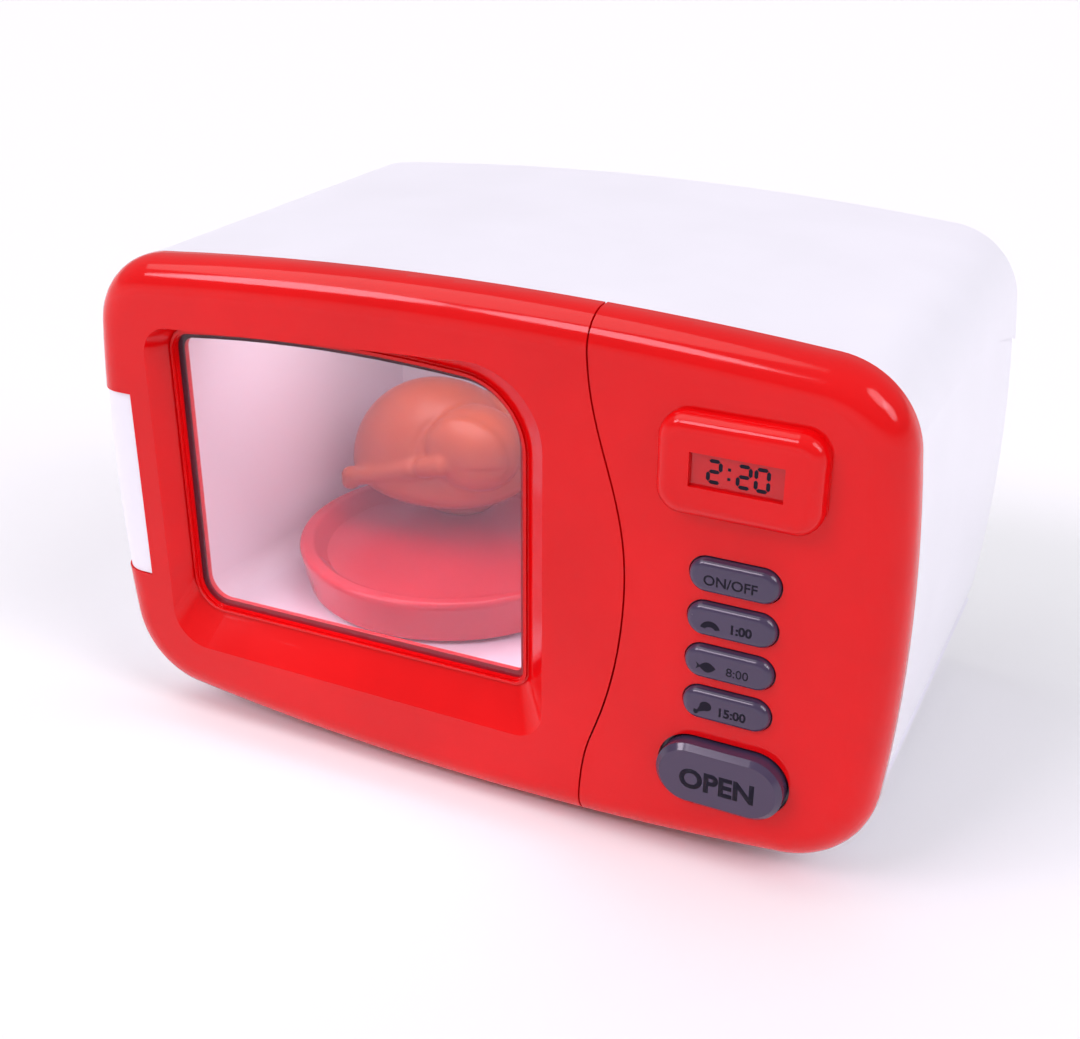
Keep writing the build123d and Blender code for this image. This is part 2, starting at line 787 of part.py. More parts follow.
with BuildPart() as control_panel:
    add(face_blank.part)
    add(panel_hollow.part, mode=Mode.SUBTRACT)
    with BuildSketch(face_plane(bezel_depth)):
        seam_region(seam_gap / 2, 1)
    extrude(amount=bezel_depth, mode=Mode.INTERSECT)
    add(display_frame.part)
    with BuildSketch(face_plane(shell_wall + overrun)):
        with Locations((control_x, display_height)):
            Rectangle(pocket_width, pocket_tall)
    extrude(amount=shell_wall + overrun + display_proud - display_sill, mode=Mode.SUBTRACT)
    with BuildSketch(face_plane(0)):
        with Locations((control_x, display_height)):
            Rectangle(display_window_width, display_window_tall)
    extrude(amount=display_proud + overrun, mode=Mode.SUBTRACT)
    with BuildSketch(face_plane(shell_wall + overrun)):
        with Locations(*[(control_x, height) for height in pill_heights]):
            SlotOverall(pill_width + 2 * button_clearance, pill_tall + 2 * button_clearance)
        with Locations((control_x, open_height)):
            SlotOverall(open_width + 2 * open_hole_clearance, open_tall + 2 * open_hole_clearance)
    extrude(amount=shell_wall + 2 * overrun, mode=Mode.SUBTRACT)
    stud([back_spot(spot, bezel_depth) for spot in panel_screw_spots], screw_boss_radius,
         bezel_depth - shell_wall)
    stud([back_spot(spot, board_depth) for spot in board_screw_spots], screw_boss_radius - shell_wall / 2,
         board_depth - shell_wall)
    drill([back_spot(spot, bezel_depth) for spot in panel_screw_spots], screw_shank_radius, screw_length)
    drill([back_spot(spot, board_depth) for spot in board_screw_spots], screw_shank_radius,
          board_depth - shell_wall)
control_panel.part.label = "control_panel"
export_step(control_panel.part, "parts/control_panel.step")

with BuildPart() as panel_screws:
    pan_screws([back_spot(spot, frame_back) for spot in panel_screw_spots], screw_length - seat_gap)
panel_screws.part.label = "panel_screws"
export_step(panel_screws.part, "parts/panel_screws.step")

with BuildPart() as display_lens:
    with BuildSketch(face_plane(display_sill - display_proud)):
        with Locations((control_x, display_height)):
            Rectangle(pocket_width - 2 * seat_gap, pocket_tall - 2 * seat_gap)
    extrude(amount=-lens_thickness)
display_lens.part.label = "display_lens"
export_step(display_lens.part, "parts/display_lens.step")

with BuildPart() as display_module:
    with BuildSketch(face_plane(display_sill - display_proud + lens_thickness)):
        with Locations((control_x, display_height)):
            Rectangle(pocket_width - 2 * lens_margin, pocket_tall - 2 * lens_margin)
    extrude(amount=-(board_depth + display_proud - display_sill - lens_thickness))
display_module.part.label = "display_module"
export_step(display_module.part, "parts/display_module.step")

for name, height in zip(pill_names, pill_heights):
    with BuildPart() as pill_button:
        with BuildSketch(face_plane(shell_wall + seat_gap)):
            with Locations((control_x, height)):
                SlotOverall(pill_width, pill_tall)
        extrude(amount=shell_wall + seat_gap + pill_proud)
        fillet(pill_button.faces().sort_by(Axis.Y)[0].edges(), pill_edge_radius)
        with BuildSketch(face_plane(shell_wall + seat_gap)):
            with Locations((control_x, height)):
                SlotOverall(pill_width + 2 * pill_flange, pill_tall + 2 * pill_flange)
        extrude(amount=-flange_thickness)
        stud([front_spot((control_x, height), shell_wall + seat_gap + flange_thickness)], pill_stem_radius,
             pill_stem_length)
    pill_button.part.label = name
    export_step(pill_button.part, f"parts/{name}.step")

open_flange_back = shell_wall + seat_gap + flange_thickness
wedge_right = wedge_x + wedge_width / 2
ramp_start = slide_front - open_travel
with BuildPart() as open_button:
    with BuildSketch(face_plane(shell_wall + seat_gap)):
        with Locations((control_x, open_height)):
            SlotOverall(open_width, open_tall)
    extrude(amount=shell_wall + seat_gap + open_proud)
    chamfer(open_button.faces().sort_by(Axis.Y)[0].edges(), open_bevel)
    with BuildSketch(face_plane(shell_wall + seat_gap)):
        with Locations((control_x, open_height)):
            SlotOverall(open_width + 2 * open_flange, open_tall + 2 * open_flange)
    extrude(amount=-flange_thickness)
    with BuildSketch(Plane.XY.offset(face_mid + catch_height - wedge_tall / 2)):
        with BuildLine():
            root = front_y + open_flange_back
            start = front_y + ramp_start
            tip = front_y + wedge_tip_depth
            left = wedge_x - wedge_width / 2
            Polyline((left, root), (wedge_right, root), (wedge_right, start),
                     (wedge_right - ramp_ratio * (tip - start), tip), (left, tip), close=True)
        make_face()
    extrude(amount=wedge_tall)
open_button.part.label = "open_button"
export_step(open_button.part, "parts/open_button.step")

# Latch slide: its tongue stands before the catch's barb, and its ramp rides on the wedge

with BuildPart() as latch_slide:
    with BuildSketch(face_plane(slide_front)):
        with Locations((slide_left + tongue_length, catch_height)):
            Rectangle(slide_right - slide_left - tongue_length, slide_tall, align=(Align.MIN, Align.CENTER))
        with Locations((slide_left, catch_height)):
            Rectangle(tongue_length, tongue_tall, align=(Align.MIN, Align.CENTER))
    extrude(amount=-slide_thickness)
    with BuildSketch(Plane.XY.offset(face_mid + catch_height - wedge_tall / 2 - seam_gap / 2)):
        with BuildLine():
            near = front_y + slide_front - overrun
            far = front_y + slide_back + overrun
            free = wedge_x - wedge_width / 2 - ramp_ratio * open_travel - seam_gap
            near_x = wedge_right - ramp_ratio * (near - front_y - ramp_start) + seat_gap
            far_x = wedge_right - ramp_ratio * (far - front_y - ramp_start) + seat_gap
            Polyline((free, near), (near_x, near), (far_x, far), (free, far), close=True)
        make_face()
    extrude(amount=wedge_tall + seam_gap, mode=Mode.SUBTRACT)
latch_slide.part.label = "latch_slide"
export_step(latch_slide.part, "parts/latch_slide.step")


def coil(start, axis, radius, length):
    """Returns a compression spring's wire form, wound from start along axis."""
    path = Helix(spring_pitch, length - 2 * spring_wire, radius)
    section = Plane(origin=path @ 0, z_dir=path % 0) * Circle(spring_wire)
    wire = sweep(section, path, is_frenet=True)
    return Plane(origin=start, z_dir=axis) * Pos(0, 0, spring_wire) * wire


open_spring_length = bezel_depth - open_flange_back - 2 * seat_gap
open_coils = [
    coil((control_x + side * spring_reach_x, front_y + open_flange_back + seat_gap, face_mid + open_height),
         (0, 1, 0), spring_radius, open_spring_length)
    for side in (-1, 1)
]
with BuildPart() as open_button_springs:
    add(open_coils)
open_button_springs.part.label = "open_button_springs"
export_step(open_button_springs.part, "parts/open_button_springs.step")

latch_coil = coil((slide_right + seat_gap, front_y + (slide_front + slide_back) / 2, face_mid + catch_height),
                  (1, 0, 0), latch_spring_radius, lug_x - slide_right - 2 * seat_gap)
with BuildPart() as latch_spring:
    add(latch_coil)
latch_spring.part.label = "latch_spring"
export_step(latch_spring.part, "parts/latch_spring.step")

# Circuit board and keypad membrane behind the control panel

with BuildPart() as circuit_board:
    with BuildSketch(face_plane(board_depth)):
        with Locations((control_x, board_bottom)):
            Rectangle(board_width, board_top - board_bottom, align=(Align.CENTER, Align.MIN))
    extrude(amount=-board_thickness)
    drill([back_spot(spot, board_depth + board_thickness) for spot in board_screw_spots],
          screw_shank_radius + seat_gap, board_thickness)
circuit_board.part.label = "circuit_board"
export_step(circuit_board.part, "parts/circuit_board.step")

with BuildPart() as board_screws:
    pan_screws([back_spot(spot, board_depth + board_thickness) for spot in board_screw_spots],
               board_depth + board_thickness - shell_wall - seat_gap)
board_screws.part.label = "board_screws"
export_step(board_screws.part, "parts/board_screws.step")

dome_front = shell_wall + seat_gap + flange_thickness + pill_stem_length + pill_travel + seat_gap
membrane_front = dome_front + seam_gap
with BuildPart() as keypad_membrane:
    with BuildSketch(face_plane(board_depth)):
        with Locations((control_x, (pill_heights[0] + pill_heights[-1]) / 2)):
            RectangleRounded(pill_width + 2 * pill_flange, pill_pitch * len(pill_names), pill_edge_radius)
    extrude(amount=board_depth - membrane_front)
    with BuildSketch(face_plane(membrane_front)):
        with Locations(*[(control_x, height) for height in pill_heights]):
            Circle(pill_stem_radius + seam_gap)
    extrude(amount=membrane_front - dome_front)
keypad_membrane.part.label = "keypad_membrane"
export_step(keypad_membrane.part, "parts/keypad_membrane.step")

# Oven cavity: a tapered tub with a flange that seats on the back of the front frame


def cavity_outline(depth, grow):
    """Draws the cavity's section at a depth: its side walls draw in towards the back."""
    share = (depth - frame_back) / (cavity_rear_depth - frame_back)
    width = cavity_width - 2 * cavity_draft * share
    with Locations((cavity_middle, (cavity_floor + cavity_ceiling) / 2)):
        RectangleRounded(width + 2 * grow, cavity_ceiling - cavity_floor + 2 * grow, cavity_corner + grow)


dish_axis = (dish_x, front_y + dish_depth)
idler_depth = dish_depth + gear_module * (drive_teeth + pinion_teeth) / 2
motor_x = dish_x + gear_module * (idler_teeth + pinion_teeth) / 2
idler_axis = (dish_x, front_y + idler_depth)
motor_axis = (motor_x, front_y + idler_depth)
tray_spots = [(dish_x + side * tray_side_reach, dish_depth + reach) for side in (-1, 1)
              for reach in (-tray_front_reach, tray_rear_reach)]
with BuildPart() as cavity_liner:
    with BuildSketch(face_plane(frame_back)):
        cavity_outline(frame_back, cavity_wall)
    with BuildSketch(face_plane(cavity_rear_depth + cavity_wall)):
        cavity_outline(cavity_rear_depth, cavity_wall)
    loft()
    with BuildSketch(face_plane(frame_back)):
        cavity_outline(frame_back, cavity_flange)
    extrude(amount=-cavity_wall)
    for spot in tray_spots:
        with BuildSketch(level_plane(tray_top)):
            with Locations((spot[0], front_y + spot[1])):
                Circle(post_radius)
        extrude(amount=cavity_floor - cavity_wall - tray_top)
    with BuildSketch(level_plane(drive_gear_top + seat_gap)):
        with Locations(dish_axis):
            Circle(hub_radius)
    extrude(amount=cavity_floor - cavity_wall - drive_gear_top - seat_gap)
    with BuildSketch(level_plane(idler_top + seat_gap)):
        with Locations(idler_axis):
            Circle(axle_boss_radius)
    extrude(amount=cavity_floor - cavity_wall - idler_top - seat_gap)
    with BuildSketch(face_plane(frame_back)):
        cavity_outline(frame_back, 0)
    with BuildSketch(face_plane(cavity_rear_depth)):
        cavity_outline(cavity_rear_depth, 0)
    loft(mode=Mode.SUBTRACT)
    with BuildSketch(level_plane(cavity_floor + overrun)):
        with Locations(dish_axis):
            Circle(spindle_radius + shaft_clearance)
    extrude(amount=drive_gear_top - cavity_floor - 2 * overrun, mode=Mode.SUBTRACT)
    with BuildSketch(level_plane(cavity_ceiling - overrun)):
        with Locations((cavity_middle, front_y + lamp_depth)):
            Circle(lamp_radius + seat_gap)
    extrude(amount=cavity_wall + 2 * overrun, mode=Mode.SUBTRACT)
    drill([back_spot(spot, frame_back + cavity_wall) for spot in liner_screw_spots],
          screw_shank_radius + seat_gap, cavity_wall)
    drill([under_spot(spot, tray_top) for spot in tray_spots], screw_shank_radius,
          screw_length - tray_thickness)
    drill([under_spot((dish_x, idler_depth), idler_top)], axle_radius, idler_axle_reach)
cavity_liner.part.label = "cavity_liner"
export_step(cavity_liner.part, "parts/cavity_liner.step")

with BuildPart() as liner_screws:
    pan_screws([back_spot(spot, frame_back + cavity_wall) for spot in liner_screw_spots], short_screw_length)
liner_screws.part.label = "liner_screws"
export_step(liner_screws.part, "parts/liner_screws.step")

# Turntable dish on its spindle

skirt_radius = dish_radius - dish_flare
with BuildPart() as turntable:
    with BuildSketch(Plane(origin=(dish_x, front_y + dish_depth, face_mid + cavity_floor + dish_lift),
                           x_dir=(1, 0, 0), z_dir=(0, -1, 0))):
        with BuildLine():
            Polyline((0, dish_floor), (dish_radius - 2 * dish_rim, dish_floor),
                     (dish_radius - dish_rim, dish_tall), (dish_radius, dish_tall),
                     (dish_radius, dish_tall - dish_rim / 2), (skirt_radius, 0),
                     (skirt_radius - dish_wall, 0), (skirt_radius - dish_wall, dish_floor - dish_wall),
                     (hub_radius, dish_floor - dish_wall), (hub_radius, 0), (spindle_radius, 0),
                     (spindle_radius, dish_floor - dish_wall), (0, dish_floor - dish_wall), close=True)
        make_face()
        fillet(vertices().group_by(Axis.Y)[-1], dish_rim / 3)
    revolve(axis=Axis((dish_x, front_y + dish_depth, 0), (0, 0, 1)))
turntable.part.label = "turntable"
export_step(turntable.part, "parts/turntable.step")


def on_dish(shares):
    """Returns a place over the dish, given from its floor's middle in shares of its radius."""
    floor_height = face_mid + cavity_floor + dish_lift + dish_floor
    return (dish_x + dish_radius * shares[0], front_y + dish_depth + dish_radius * shares[1],
            floor_height + dish_radius * shares[2])


def chicken_form(inset):
    """Adds the chicken's round body and its two thighs, drawn in by inset: each is lofted through rings."""
    for spot_shares, length_share, girth_share in lobe_shares:
        middle = on_dish(spot_shares)
        reach = dish_radius * length_share / 2 - inset
        swell = dish_radius * girth_share / 2 - inset
        rings = []
        for angle in ring_angles:
            station = (middle[0] - reach * math.cos(math.radians(angle)), middle[1], middle[2])
            with BuildSketch(Plane(origin=station, x_dir=(0, 1, 0), z_dir=(1, 0, 0))) as ring:
                Circle(swell * math.sin(math.radians(angle)))
            rings.append(ring.sketch.faces()[0])
        loft(rings)


dish_level = on_dish((0, 0, 0))[2]
with BuildPart() as chicken_hollow:
    chicken_form(chicken_wall)

with BuildPart() as roast_chicken:
    chicken_form(0)
    for knee_shares, run_shares in bone_shares:
        knee_plane = Plane(origin=on_dish(knee_shares), z_dir=run_shares)
        bone_length = dish_radius * Vector(*run_shares).length
        with Locations(knee_plane):
            Sphere(dish_radius * knee_share)
            Cone(dish_radius * shin_share, dish_radius * shin_end_share, bone_length,
                 align=(Align.CENTER, Align.CENTER, Align.MIN))
        with Locations(knee_plane.offset(bone_length)):
            Sphere(dish_radius * bone_end_share)
    with BuildSketch(Plane.XY.offset(dish_level)):
        with Locations(dish_axis):
            Rectangle(2 * dish_radius, 2 * dish_radius)
    extrude(amount=-dish_radius, mode=Mode.SUBTRACT)
    add(chicken_hollow.part, mode=Mode.SUBTRACT)
roast_chicken.part.label = "roast_chicken"
export_step(roast_chicken.part, "parts/roast_chicken.step")

with BuildPart() as turntable_spindle:
    with BuildSketch(level_plane(tray_top + seat_gap)):
        with Locations(dish_axis):
            Circle(spindle_radius)
    extrude(amount=cavity_floor + dish_lift + dish_floor - dish_wall - tray_top - seat_gap)
    with BuildSketch(level_plane(tray_top + seat_gap)):
        with Locations(dish_axis):
            Circle(journal_radius)
    extrude(amount=-tray_thickness - seat_gap)
turntable_spindle.part.label = "turntable_spindle"
export_step(turntable_spindle.part, "parts/turntable_spindle.step")

# Gear train of true involute teeth: motor pinion, idler of two steps, drive gear on the spindle


def gear_edges(teeth, centre, turn):
    """Returns the outline of a spur gear, with one tooth's middle turned to the angle turn."""
    pitch_radius = gear_module * teeth / 2
    base_radius = pitch_radius * math.cos(math.radians(pressure_angle))
    tip_radius = pitch_radius + addendum_share * gear_module
    root_radius = pitch_radius - dedendum_share * gear_module
    half_tooth = (math.pi * gear_module - backlash) / (4 * pitch_radius)
    pitch_involute = math.tan(math.radians(pressure_angle)) - math.radians(pressure_angle)
    low_radius = max(base_radius, root_radius)

    def spot(radius, angle):
        return (centre[0] + radius * math.cos(angle), centre[1] + radius * math.sin(angle), 0)

    def flank_angle(radius):
        roll = math.acos(min(1, base_radius / radius))
        return half_tooth + pitch_involute - math.tan(roll) + roll

    radii = [low_radius + (tip_radius - low_radius) * step / flank_steps for step in range(flank_steps + 1)]
    edges = []
    for index in range(teeth):
        middle = math.radians(turn) + 2 * math.pi * index / teeth
        following = middle + 2 * math.pi / teeth
        low_angle = flank_angle(low_radius)
        tip_angle = flank_angle(tip_radius)
        edges.append(Edge.make_spline([spot(radius, middle - flank_angle(radius)) for radius in radii]))
        edges.append(Edge.make_three_point_arc(spot(tip_radius, middle - tip_angle), spot(tip_radius, middle),
                                               spot(tip_radius, middle + tip_angle)))
        edges.append(Edge.make_spline([spot(radius, middle + flank_angle(radius))
                                       for radius in reversed(radii)]))
        if root_radius < low_radius:
            edges.append(Edge.make_line(spot(low_radius, middle + low_angle),
                                        spot(root_radius, middle + low_angle)))
            edges.append(Edge.make_line(spot(root_radius, following - low_angle),
                                        spot(low_radius, following - low_angle)))
        edges.append(Edge.make_three_point_arc(spot(root_radius, middle + low_angle),
                                               spot(root_radius, (middle + following) / 2),
                                               spot(root_radius, following - low_angle)))
    return edges


half_tooth_turn = 360 / pinion_teeth / 2
with BuildPart() as drive_gear:
    with BuildSketch(level_plane(drive_gear_top)):
        make_face(gear_edges(drive_teeth, dish_axis, 0))
        with Locations(dish_axis):
            Circle(spindle_radius, mode=Mode.SUBTRACT)
    extrude(amount=-drive_gear_width)
drive_gear.part.label = "drive_gear"
export_step(drive_gear.part, "parts/drive_gear.step")

with BuildPart() as idler_gear:
    with BuildSketch(level_plane(idler_wheel_top)):
        make_face(gear_edges(idler_teeth, idler_axis, 0))
    extrude(amount=-idler_wheel_width)
    with BuildSketch(level_plane(idler_wheel_top)):
        make_face(gear_edges(pinion_teeth, idler_axis, 0))
    extrude(amount=idler_top - idler_wheel_top)
    with BuildSketch(level_plane(idler_wheel_top - idler_wheel_width)):
        with Locations(idler_axis):
            Circle(axle_radius + shaft_clearance)
    extrude(amount=idler_top - idler_wheel_top + idler_wheel_width, mode=Mode.SUBTRACT)
idler_gear.part.label = "idler_gear"
export_step(idler_gear.part, "parts/idler_gear.step")

with BuildPart() as motor_pinion:
    with BuildSketch(level_plane(idler_wheel_top + seat_gap)):
        make_face(gear_edges(pinion_teeth, motor_axis, half_tooth_turn))
        with Locations(motor_axis):
            Circle(axle_radius, mode=Mode.SUBTRACT)
    extrude(amount=-idler_wheel_width - 2 * seat_gap)
motor_pinion.part.label = "motor_pinion"
export_step(motor_pinion.part, "parts/motor_pinion.step")

with BuildPart() as motor_shaft:
    with BuildSketch(level_plane(idler_wheel_top + seat_gap)):
        with Locations(motor_axis):
            Circle(axle_radius)
    extrude(amount=tray_top - tray_thickness - motor_shaft_reach - idler_wheel_top - seat_gap)
motor_shaft.part.label = "motor_shaft"
export_step(motor_shaft.part, "parts/motor_shaft.step")

with BuildPart() as drive_motor:
    with BuildSketch(level_plane(tray_top - tray_thickness)):
        with Locations(motor_axis):
            Circle(motor_radius)
    extrude(amount=-motor_height)
    with BuildSketch(level_plane(tray_top - tray_thickness)):
        with Locations(motor_axis):
            Circle(axle_radius + shaft_clearance)
    extrude(amount=-motor_shaft_reach - seat_gap, mode=Mode.SUBTRACT)
drive_motor.part.label = "drive_motor"
export_step(drive_motor.part, "parts/drive_motor.step")

with BuildPart() as idler_axle:
    with BuildSketch(level_plane(tray_top - tray_thickness)):
        with Locations(idler_axis):
            Circle(axle_radius)
    extrude(amount=idler_top + idler_axle_reach - tray_top + tray_thickness)
idler_axle.part.label = "idler_axle"
export_step(idler_axle.part, "parts/idler_axle.step")

tray_middle = (dish_x, front_y + dish_depth + (tray_rear_reach - tray_front_reach) / 2)
with BuildPart() as gear_tray:
    with BuildSketch(level_plane(tray_top)):
        with Locations(tray_middle):
            RectangleRounded(2 * tray_side_reach + 3 * post_radius,
                             tray_front_reach + tray_rear_reach + 3 * post_radius, post_radius)
        with Locations(motor_axis):
            Circle(motor_radius + overrun)
        with Locations(dish_axis):
            Circle(journal_radius + shaft_clearance, mode=Mode.SUBTRACT)
        with Locations(motor_axis):
            Circle(journal_radius, mode=Mode.SUBTRACT)
    extrude(amount=-tray_thickness)
    with BuildSketch(level_plane(tray_top)):
        with Locations(idler_axis):
            Circle(axle_boss_radius)
    extrude(amount=idler_wheel_top - idler_wheel_width - tray_top - seat_gap)
    with BuildSketch(level_plane(tray_top - tray_thickness)):
        with Locations(idler_axis):
            Circle(axle_radius)
    extrude(amount=2 * tray_thickness + overrun, mode=Mode.SUBTRACT)
    drill([under_spot(spot, tray_top - tray_thickness) for spot in tray_spots], screw_shank_radius + seat_gap,
          tray_thickness)
gear_tray.part.label = "gear_tray"
export_step(gear_tray.part, "parts/gear_tray.step")

with BuildPart() as tray_screws:
    pan_screws([under_spot(spot, tray_top - tray_thickness) for spot in tray_spots], screw_length - seat_gap)
tray_screws.part.label = "tray_screws"
export_step(tray_screws.part, "parts/tray_screws.step")

# Cavity lamp in the ceiling

lamp_axis = (cavity_middle, front_y + lamp_depth)
with BuildPart() as lamp_lens:
    with BuildSketch(level_plane(cavity_ceiling)):
        with Locations(lamp_axis):
            Circle(lamp_radius)
    extrude(amount=cavity_wall)
    with BuildSketch(level_plane(cavity_ceiling + cavity_wall)):
        with Locations(lamp_axis):
            Circle(lamp_radius + lamp_flange)
    extrude(amount=lamp_flange_thickness)
lamp_lens.part.label = "lamp_lens"
export_step(lamp_lens.part, "parts/lamp_lens.step")

with BuildPart() as lamp_led:
    with BuildSketch(level_plane(cavity_ceiling + cavity_wall + lamp_flange_thickness)):
        with Locations(lamp_axis):
            Circle(led_radius)
    extrude(amount=led_height)
    with BuildSketch(level_plane(cavity_ceiling + cavity_wall + lamp_flange_thickness + led_height)):
        with Locations(lamp_axis):
            Circle(lamp_radius)
    extrude(amount=board_thickness)
lamp_led.part.label = "lamp_led"
export_step(lamp_led.part, "parts/lamp_led.step")

# Battery bay, rear cover and its hatch

bay_width = cell_length + 2 * contact_space
bay_tall = cell_pitch * (cell_count - 1) + 2 * cell_radius + 2 * overrun
bay_front = cover_front - 2 * cell_radius - 2 * seat_gap
cell_heights = [bay_height + cell_pitch * (index - (cell_count - 1) / 2) for index in range(cell_count)]
hatch_screw_spot = (bay_x, bay_height + bay_tall / 2 + bay_wall + screw_boss_radius / 2)
with BuildPart() as battery_box:
    with BuildSketch(face_plane(cover_front)):
        with Locations((bay_x, bay_height)):
            Rectangle(bay_width + 2 * bay_wall, bay_tall + 2 * bay_wall)
    extrude(amount=cover_front - bay_front + bay_wall)
    with BuildSketch(face_plane(cover_front)):
        with Locations((bay_x, bay_height)):
            Rectangle(bay_width, bay_tall)
    extrude(amount=cover_front - bay_front, mode=Mode.SUBTRACT)
    stud([back_spot(hatch_screw_spot, cover_front)], screw_boss_radius, screw_length)
    with BuildSketch(face_plane(cover_front)):
        with Locations((bay_x, bay_height)):
            Rectangle(bay_width, bay_tall)
    extrude(amount=cover_front - bay_front, mode=Mode.SUBTRACT)
    drill([back_spot(hatch_screw_spot, cover_front)], screw_shank_radius + shaft_clearance,
          screw_length - overrun)
battery_box.part.label = "battery_box"
export_step(battery_box.part, "parts/battery_box.step")

with BuildPart() as battery_cells:
    for index, height in enumerate(cell_heights):
        facing = 1 if index % 2 else -1
        cell_plane = Plane(origin=(bay_x, front_y + cover_front - seat_gap - cell_radius, face_mid + height),
                           z_dir=(facing, 0, 0))
        with Locations(cell_plane.offset(-cell_length / 2)):
            Cylinder(cell_radius, cell_length - cell_nub, align=(Align.CENTER, Align.CENTER, Align.MIN))
            Cylinder(cell_nub_radius, cell_length, align=(Align.CENTER, Align.CENTER, Align.MIN))
battery_cells.part.label = "battery_cells"
export_step(battery_cells.part, "parts/battery_cells.step")

contact_ends = []
for index, height in enumerate(cell_heights):
    cell_middle = (bay_x, front_y + cover_front - seat_gap - cell_radius, face_mid + height)
    for way in (-1, 1):
        contact_ends.append((way == (1 if index % 2 else -1), Plane(origin=cell_middle, z_dir=(way, 0, 0))))
contact_coils = [coil(end.offset(cell_length / 2).origin, end.z_dir, cell_nub_radius,
                      contact_space - contact_thickness)
                 for at_nub, end in contact_ends if not at_nub]
with BuildPart() as battery_contacts:
    with Locations(*[end.offset(bay_width / 2) for at_nub, end in contact_ends]):
        Box(contact_width, contact_width, contact_thickness, align=(Align.CENTER, Align.CENTER, Align.MAX))
    with Locations(*[end.offset(bay_width / 2) for at_nub, end in contact_ends if at_nub]):
        Cylinder(cell_nub_radius, contact_space, align=(Align.CENTER, Align.CENTER, Align.MAX))
    add(contact_coils)
battery_contacts.part.label = "battery_contacts"
export_step(battery_contacts.part, "parts/battery_contacts.step")


def hatch_outline(play):
    """Draws the hatch: the bay's opening with a margin and a round lug for its screw."""
    with Locations((bay_x, bay_height)):
        RectangleRounded(bay_width + 2 * hatch_margin + 2 * play, bay_tall + 2 * hatch_margin + 2 * play,
                         hatch_corner)
    with Locations(hatch_screw_spot):
        Circle(hatch_screw_reach + play)


grille_spots = [(bay_x + ring * grille_ring_step * math.cos(math.radians(60 / max(1, ring) * hole)),
                 speaker_height + ring * grille_ring_step * math.sin(math.radians(60 / max(1, ring) * hole)))
                for ring in range(3) for hole in range(max(1, 6 * ring))]
with BuildPart() as rear_cover:
    with BuildSketch(face_plane(cover_back)):
        body_outline(overall_depth, body_wall + cover_gap)
    extrude(amount=cover_thickness)
    with BuildSketch(face_plane(cover_back)):
        hatch_outline(cover_gap)
    extrude(amount=hatch_thickness, mode=Mode.SUBTRACT)
    with BuildSketch(face_plane(cover_back)):
        with Locations((bay_x, bay_height)):
            Rectangle(bay_width, bay_tall)
    extrude(amount=cover_thickness, mode=Mode.SUBTRACT)
    with BuildSketch(face_plane(cover_front)):
        with Locations((bay_x, speaker_height)):
            Circle(speaker_radius + seat_gap + bay_wall)
            Circle(speaker_radius + seat_gap, mode=Mode.SUBTRACT)
    extrude(amount=speaker_flange)
    drill([back_spot(spot, cover_back) for spot in grille_spots], grille_hole_radius, cover_thickness)
    drill([back_spot(hatch_screw_spot, cover_back)], screw_shank_radius + seat_gap, cover_thickness)
    countersink([back_spot(spot, cover_back) for spot in column_spots], seat_gap / 2)
rear_cover.part.label = "rear_cover"
export_step(rear_cover.part, "parts/rear_cover.step")

with BuildPart() as cover_screws:
    countersunk_screws([back_spot(spot, cover_back) for spot in column_spots])
cover_screws.part.label = "cover_screws"
export_step(cover_screws.part, "parts/cover_screws.step")

with BuildPart() as battery_cover:
    with BuildSketch(face_plane(cover_back)):
        hatch_outline(0)
    extrude(amount=hatch_thickness)
    countersink([back_spot(hatch_screw_spot, cover_back)], 0)
battery_cover.part.label = "battery_cover"
export_step(battery_cover.part, "parts/battery_cover.step")

with BuildPart() as battery_cover_screw:
    countersunk_screws([back_spot(hatch_screw_spot, cover_back)])
battery_cover_screw.part.label = "battery_cover_screw"
export_step(battery_cover_screw.part, "parts/battery_cover_screw.step")

with BuildPart() as speaker:
    stud([back_spot((bay_x, speaker_height), cover_front)], speaker_radius, speaker_flange)
    stud([back_spot((bay_x, speaker_height), cover_front)], speaker_radius / 2, speaker_depth)
speaker.part.label = "speaker"
export_step(speaker.part, "parts/speaker.step")

with BuildPart() as feet:
    for side in (-1, 1):
        for depth in (foot_front_depth, overall_depth - foot_rear_margin):
            with Locations((side * (face_side - foot_side_margin), front_y + depth, 0)):
                Cylinder(foot_radius, face_mid / 2, align=(Align.CENTER, Align.CENTER, Align.MIN))
    add(body_form.part, mode=Mode.SUBTRACT)
feet.part.label = "feet"
export_step(feet.part, "parts/feet.step")
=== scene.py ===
# %% [markdown]
# A toy microwave: a glossy red front on a white body, a window in a swinging door, a red dish
# with a toy roast chicken behind it, and a panel of slate buttons beside it. Its shapes, sizes
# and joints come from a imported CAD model. This file dresses that model. It gives every moulding
# its finish, prints the buttons, shows the display's digits and models what soft modelling
# suits better than CAD: the chicken.

# %% Load the frame
import json
import math

import bmesh
import bpy
from mathutils import Euler, Matrix, Vector


